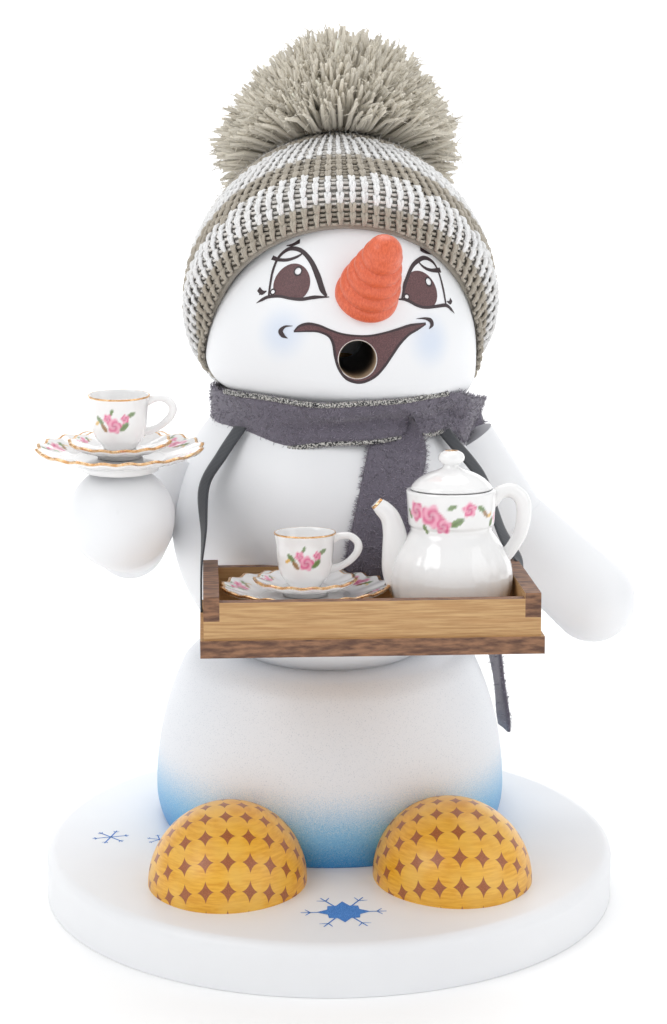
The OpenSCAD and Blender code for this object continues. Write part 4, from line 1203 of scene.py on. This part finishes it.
for x, z, off, tilt in ((6.9, 63.4, -0.2, 8), (7.4, 67, -0.1, 6), (8.2, 71, 0, 5), (9.2, 75, 0, 3),
        (10.2, 79, 0, 0), (11.2, 83, 0, -4), (12.2, 86.4, 0.0, -10)):
    y = BALL[1] - math.sqrt((BALL_R + 1.25) ** 2 - (x - BALL[0]) ** 2 - max(0.0, z - 68.0) ** 2) + off
    put([x, y, z], [math.cos(math.radians(tilt)), 0.25 * (x - BALL[0]) / BALL_R,
            math.sin(math.radians(tilt))], 5.4)
put([13.4, -4.6, 90.0], [0.75, 0.25, 0.55], 4.2)
for a in range(COLLAR_FROM, 200, 14):
    band(a, half=3.4 + 1.8 * smooth((a - COLLAR_FROM) / 90))
BAND_FROM = len(stations)
for a in range(206, 322, 12):
    on = smooth((a - 225) / 45)
    band(a, 23.0 + 2.0 * smooth((a - 215) / 60) + 0.3 * math.sin(math.radians(a * 2)), half=5.2 - 1.4 * on,
            buckle=on)
band(324, 25.2, 2.4, 3.7, 0.25, 1.0)
BAND_TO = len(stations)
band(331, 25.7, 1.5, 3.8, 0.25, 0.5)
band(338, 26.3, 0.2, 3.9, 0.2, 0.1)
rear = ((-10, 27.4, 88.6), (8, 27.9, 86.4), (24, 29.0, 83.6), (31, 31.2, 77.5), (30, 32.3, 70.5),
        (27.5, 33.3, 62),
        (25, 34.6, 52), (22.5, 36.4, 40), (20.5, 37.6, 30.0), (19.5, 38.4, 21.5))
for k, (a, r, z) in enumerate(rear):
    q = math.radians(a)
    tangent = np.array([-math.sin(q), math.cos(q), 0.0]) if k < 7 else np.array([-0.12, 0.99, 0.0])
    lift = (0.95, 0.7, 0.35)[k] if k < 3 else 0.0
    put([AXIS[0] + r * math.cos(q), AXIS[1] + r * math.sin(q), z],
        lift * np.array([0.3 * math.cos(q), 0.3 * math.sin(q), 0.95]) - (1 - lift * 0.6) * tangent,
        (5.4 if k > 3 else 4.6) - (1.4 if k == 9 else 0.0))
flat = np.array(stations)
line = curve(flat, 5)
P, W, HALF = line[:, :3], unit(line[:, 3:6]), line[:, 6]
T = unit(np.gradient(P, axis=0))
W = unit(W - (W * T).sum(1)[:, None] * T)
mid = np.stack([np.full(len(P), AXIS[0]), np.full(len(P), AXIS[1]), P[:, 2]], 1)
N = np.cross(T, W)
N *= np.sign((N * (P - mid)).sum(1))[:, None]
n_c = 15
u = np.linspace(-1, 1, n_c)
s_len = np.concatenate([[0], np.cumsum(np.linalg.norm(np.diff(P, axis=0), axis=1))])
crease = line[:, 7][:, None]
fold = crease * (0.35 - 1.5 * np.exp(-((u[None] + 0.12) / 0.36) ** 2)
        * (0.8 + 0.3 * np.sin(s_len * 0.23)[:, None]))
fold += 0.2 * np.sin(s_len[:, None] * 0.42 + 2.0 * u[None])
half_t = 0.5 * np.sqrt(np.maximum(0.05, 1 - np.abs(u) ** 6))
centre = P[:, None] + W[:, None] * (HALF[:, None] * u[None])[..., None] + N[:, None] * fold[..., None]
top_s = centre + N[:, None] * half_t[None, :, None]
low_s = centre - N[:, None] * half_t[None, :, None]
loop = np.concatenate([top_s, low_s[:, ::-1]], 1)
m = loop.shape[1]
idx, quads = ring_quads(len(loop), m)
endcaps = []
for row in (idx[0], idx[-1]):
    endcaps += [(row[q], row[q + 1], row[m - 2 - q], row[m - 1 - q]) for q in range(n_c - 1)]
b = Build()
b.add(loop.reshape(-1, 3), [quads, np.array(endcaps)])
scarf = b.piece("scarf_strip", [felt], "upper", "scarf_felt", ["scarf"], tidy=True)

outer_run = np.zeros(len(P), bool)
outer_run[BAND_FROM * 5:(BAND_TO - 1) * 5] = True
b = Build()
for side in (1, -1):
    edge = (P + W * (HALF * side)[:, None] + N * (fold[:, -1 if side > 0 else 0] + 0.12)[:, None])[outer_run]
    edge = curve(edge[::2], 6)
    wobble = 0.10 * np.sin(np.arange(len(edge)) * 1.9)[:, None]
    v, f = tubes(edge + unit(edge - COLLAR) * wobble, 0.52 + 0.06 * np.sin(np.arange(len(edge)) * 2.4), 8)
    b.add(v, f)
overlock = b.piece("scarf_overlock", [overlock_mat], "upper", "scarf_felt")

n_f = 12500
ri = rng.integers(1, len(P) - 1, n_f)
ui = rng.uniform(-1.0, 1.0, n_f)
ci = np.clip(((ui + 1) / 2 * (n_c - 1)).round().astype(int), 0, n_c - 1)
face_side = np.where(rng.uniform(size=n_f) < 0.8, 1.0, -1.0)
near_edge = rng.uniform(size=n_f) < 0.3
ui[near_edge] = np.sign(ui[near_edge])
ci[near_edge] = np.where(ui[near_edge] > 0, n_c - 1, 0)
jit = rng.uniform(-0.5, 0.5, n_f)
seg = P[ri + 1] - P[ri]
root = P[ri] + seg * jit[:, None] + W[ri] * (HALF[ri] * ui * 0.98)[:, None] + N[ri] * (fold[ri, ci]
        + half_t[ci] * face_side * 0.9)[:, None]
grow = unit(N[ri] * (face_side * 0.45)[:, None] + W[ri] * (ui * near_edge * 1.0)[:, None] + T[ri]
        * rng.normal(0, 0.5, (n_f, 1)) + W[ri] * rng.normal(0, 0.5, (n_f, 1)))
size = rng.uniform(0.5, 1.15, (n_f, 1))
hair = np.stack([root, root + grow * size * 0.6, root + (grow + N[ri] * (-0.25 * face_side)[:, None])
        * size], 1)
v, f = tubes(hair, np.array([0.05, 0.045, 0.015]), 3, ref=(0.3, 0.2, 0.93))
tone = np.array(rgb(134, 128, 141)) * rng.uniform(0.5, 1.7, (n_f, 1))
pile_piece = Build().add(v, f, 0, np.repeat(tone, 9, axis=0)).piece("scarf_pile", [pile_mat], "upper",
        "scarf_felt")


# ---------------------------------------------------------------- ribbon that holds the tray
end_lo, end_hi = box("tray_ends")


def ribbon(points, acrosses, widths):
    p = curve(points, 10)
    w = unit(curve(acrosses, 10))
    wide = curve([[q, 0, 0] for q in widths], 10)[:, 0]
    t = unit(np.gradient(p, axis=0))
    w = unit(w - (w * t).sum(1)[:, None] * t)
    n = np.cross(t, w)
    u = np.linspace(-1, 1, 7)
    half = 0.14
    a = p[:, None] + w[:, None] * (wide[:, None] / 2 * u[None])[..., None] + n[:, None] * (0.10
            * np.cos(u * 1.5))[None, :, None]
    loop = np.concatenate([a + n[:, None] * half, (a - n[:, None] * half)[:, ::-1]], 1)
    idx, quads = ring_quads(len(loop), loop.shape[1])
    return loop.reshape(-1, 3), [quads, [idx[0].tolist()], [idx[-1][::-1].tolist()]]


b = Build()
left_x, right_x = end_lo[0] - 0.35, end_hi[0] + 0.35
v, f = ribbon([(-16.4, -0.2, 89.8), (-19.8, -3.4, 85.4), (-23.2, -6.2, 80.0), (left_x + 0.6, -13.5, 73.0),
        (left_x + 0.1, -18.5, 68.0), (left_x, -21.5, 63.5), (left_x, -22.5, 60.2)],
              [(0.75, -0.65, 0.1), (0.7, -0.7, 0.1), (0.6, -0.8, 0.15), (0.25, -0.9, 0.3),
              (0.05, -0.95, 0.3), (0, -1, 0.1), (0, -1, 0.1)], [3.1, 3.1, 3.0, 3.0, 3.0, 3.0, 3.0])
b.add(v, f)
v, f = ribbon([(20.4, 1.4, 89.8), (23.4, -0.4, 86.2), (26.4, -1.9, 82.8), (28.6, -3.4, 79.4),
        (31.2, -9.5, 71.8), (right_x - 0.2, -16.0, 67.2), (right_x, -19.5, 63.5), (right_x, -20.5, 60.2)],
              [(0.7, 0.65, 0.1), (0.66, 0.7, 0.1), (0.62, 0.75, 0.1), (0.5, 0.8, 0.15), (0.25, 0.9, 0.3),
              (0.05, 0.95, 0.3), (0, 1, 0.1), (0, 1, 0.1)], [3.1, 3.1, 3.1, 3.0, 3.0, 3.0, 3.0, 3.0])
b.add(v, f)
b.piece("tray_ribbon", [ribbon_mat], "upper", "ribbon", ["tray_strap"], tidy=True)


# ---------------------------------------------------------------- floor, light and camera
def flat_sheet(name, x, y, rise):
    u = np.linspace(0, 1, 40)
    depth = np.concatenate([np.linspace(-y, y * 0.7, 4)[:-1], y * 0.7 + rise * np.sin(u * math.pi / 2)])
    height = np.concatenate([np.zeros(3), rise * (1 - np.cos(u * math.pi / 2))])
    rows = np.stack([np.stack([np.array([-x, x]), np.full(2, d), np.full(2, h)], 1) for d,
            h in zip(depth, height)])
    idx = np.arange(len(rows) * 2).reshape(-1, 2)
    quads = np.stack([idx[:-1, 0], idx[:-1, 1], idx[1:, 1], idx[1:, 0]], 1)
    me = bpy.data.meshes.new(name)
    me.from_pydata(rows.reshape(-1, 3).tolist(), [], quads.tolist())
    me.polygons.foreach_set("use_smooth", [True] * len(quads))
    ob = bpy.data.objects.new(name, me)
    bpy.context.collection.objects.link(ob)
    return ob


s = Shade("pale_floor", Roughness=0.9)
s.set("Base Color", s.mix(s.noise(0.01, 2.0), rgb(250, 250, 250), rgb(252, 252, 252)))
# the floor glows, faintly near the middle and more strongly further out: painted light
s.set("Emission Color", (1.0, 1.0, 1.0, 1.0))
s.set("Emission Strength", s.step(s.vec("LENGTH", s.co), 60.0, 900.0, (0.06, 0.62)))
floor = flat_sheet("floor", 8.0, 7.0, 3.0)
floor.location.z = -0.0001
floor.data.materials.append(s.m)


def area(name, at, size, power, look=(0, 0, 0.08)):
    d = bpy.data.lights.new(name, "AREA")
    d.shape, d.size, d.energy = "DISK", size, power
    ob = bpy.data.objects.new(name, d)
    ob.location = at
    v = np.array(look) - np.array(at)
    ob.rotation_euler = (math.acos(-v[2] / np.linalg.norm(v)), 0.0, math.atan2(v[1], v[0]) - math.pi / 2)
    bpy.context.collection.objects.link(ob)


area("key", (-0.75, -0.45, 0.85), 0.7, 3.3)
area("fill", (0.85, -0.45, 0.5), 0.9, 1.9)
area("top", (0.05, 0.45, 1.1), 0.9, 5.0)
world = bpy.data.worlds.new("studio")
bpy.context.scene.world = world
world.use_nodes = True
world.node_tree.nodes["Background"].inputs[0].default_value = (0.98, 0.99, 1.0, 1.0)
world.node_tree.nodes["Background"].inputs[1].default_value = 0.66
wn = world.node_tree
plain = wn.nodes.new("ShaderNodeBackground")
plain.inputs[0].default_value = (1.0, 1.0, 1.0, 1.0)
ray, pick_bg = wn.nodes.new("ShaderNodeLightPath"), wn.nodes.new("ShaderNodeMixShader")
wn.links.new(ray.outputs["Is Camera Ray"], pick_bg.inputs[0])
wn.links.new(wn.nodes["Background"].outputs[0], pick_bg.inputs[1])
wn.links.new(plain.outputs[0], pick_bg.inputs[2])
wn.links.new(pick_bg.outputs[0], wn.nodes["World Output"].inputs[0])
bpy.context.scene.view_settings.view_transform = "Standard"

cam = bpy.data.cameras.new("camera")
cam.sensor_width, cam.lens = 36.0, 87.2
cam.clip_start, cam.clip_end = 0.01, 50.0
eye = bpy.data.objects.new("camera", cam)
eye.location = (-0.0228, -0.4507, 0.17845)
eye.rotation_euler = (math.radians(90 - 13.1), 0.0, math.radians(-3.0))
bpy.context.collection.objects.link(eye)
bpy.context.scene.camera = eye
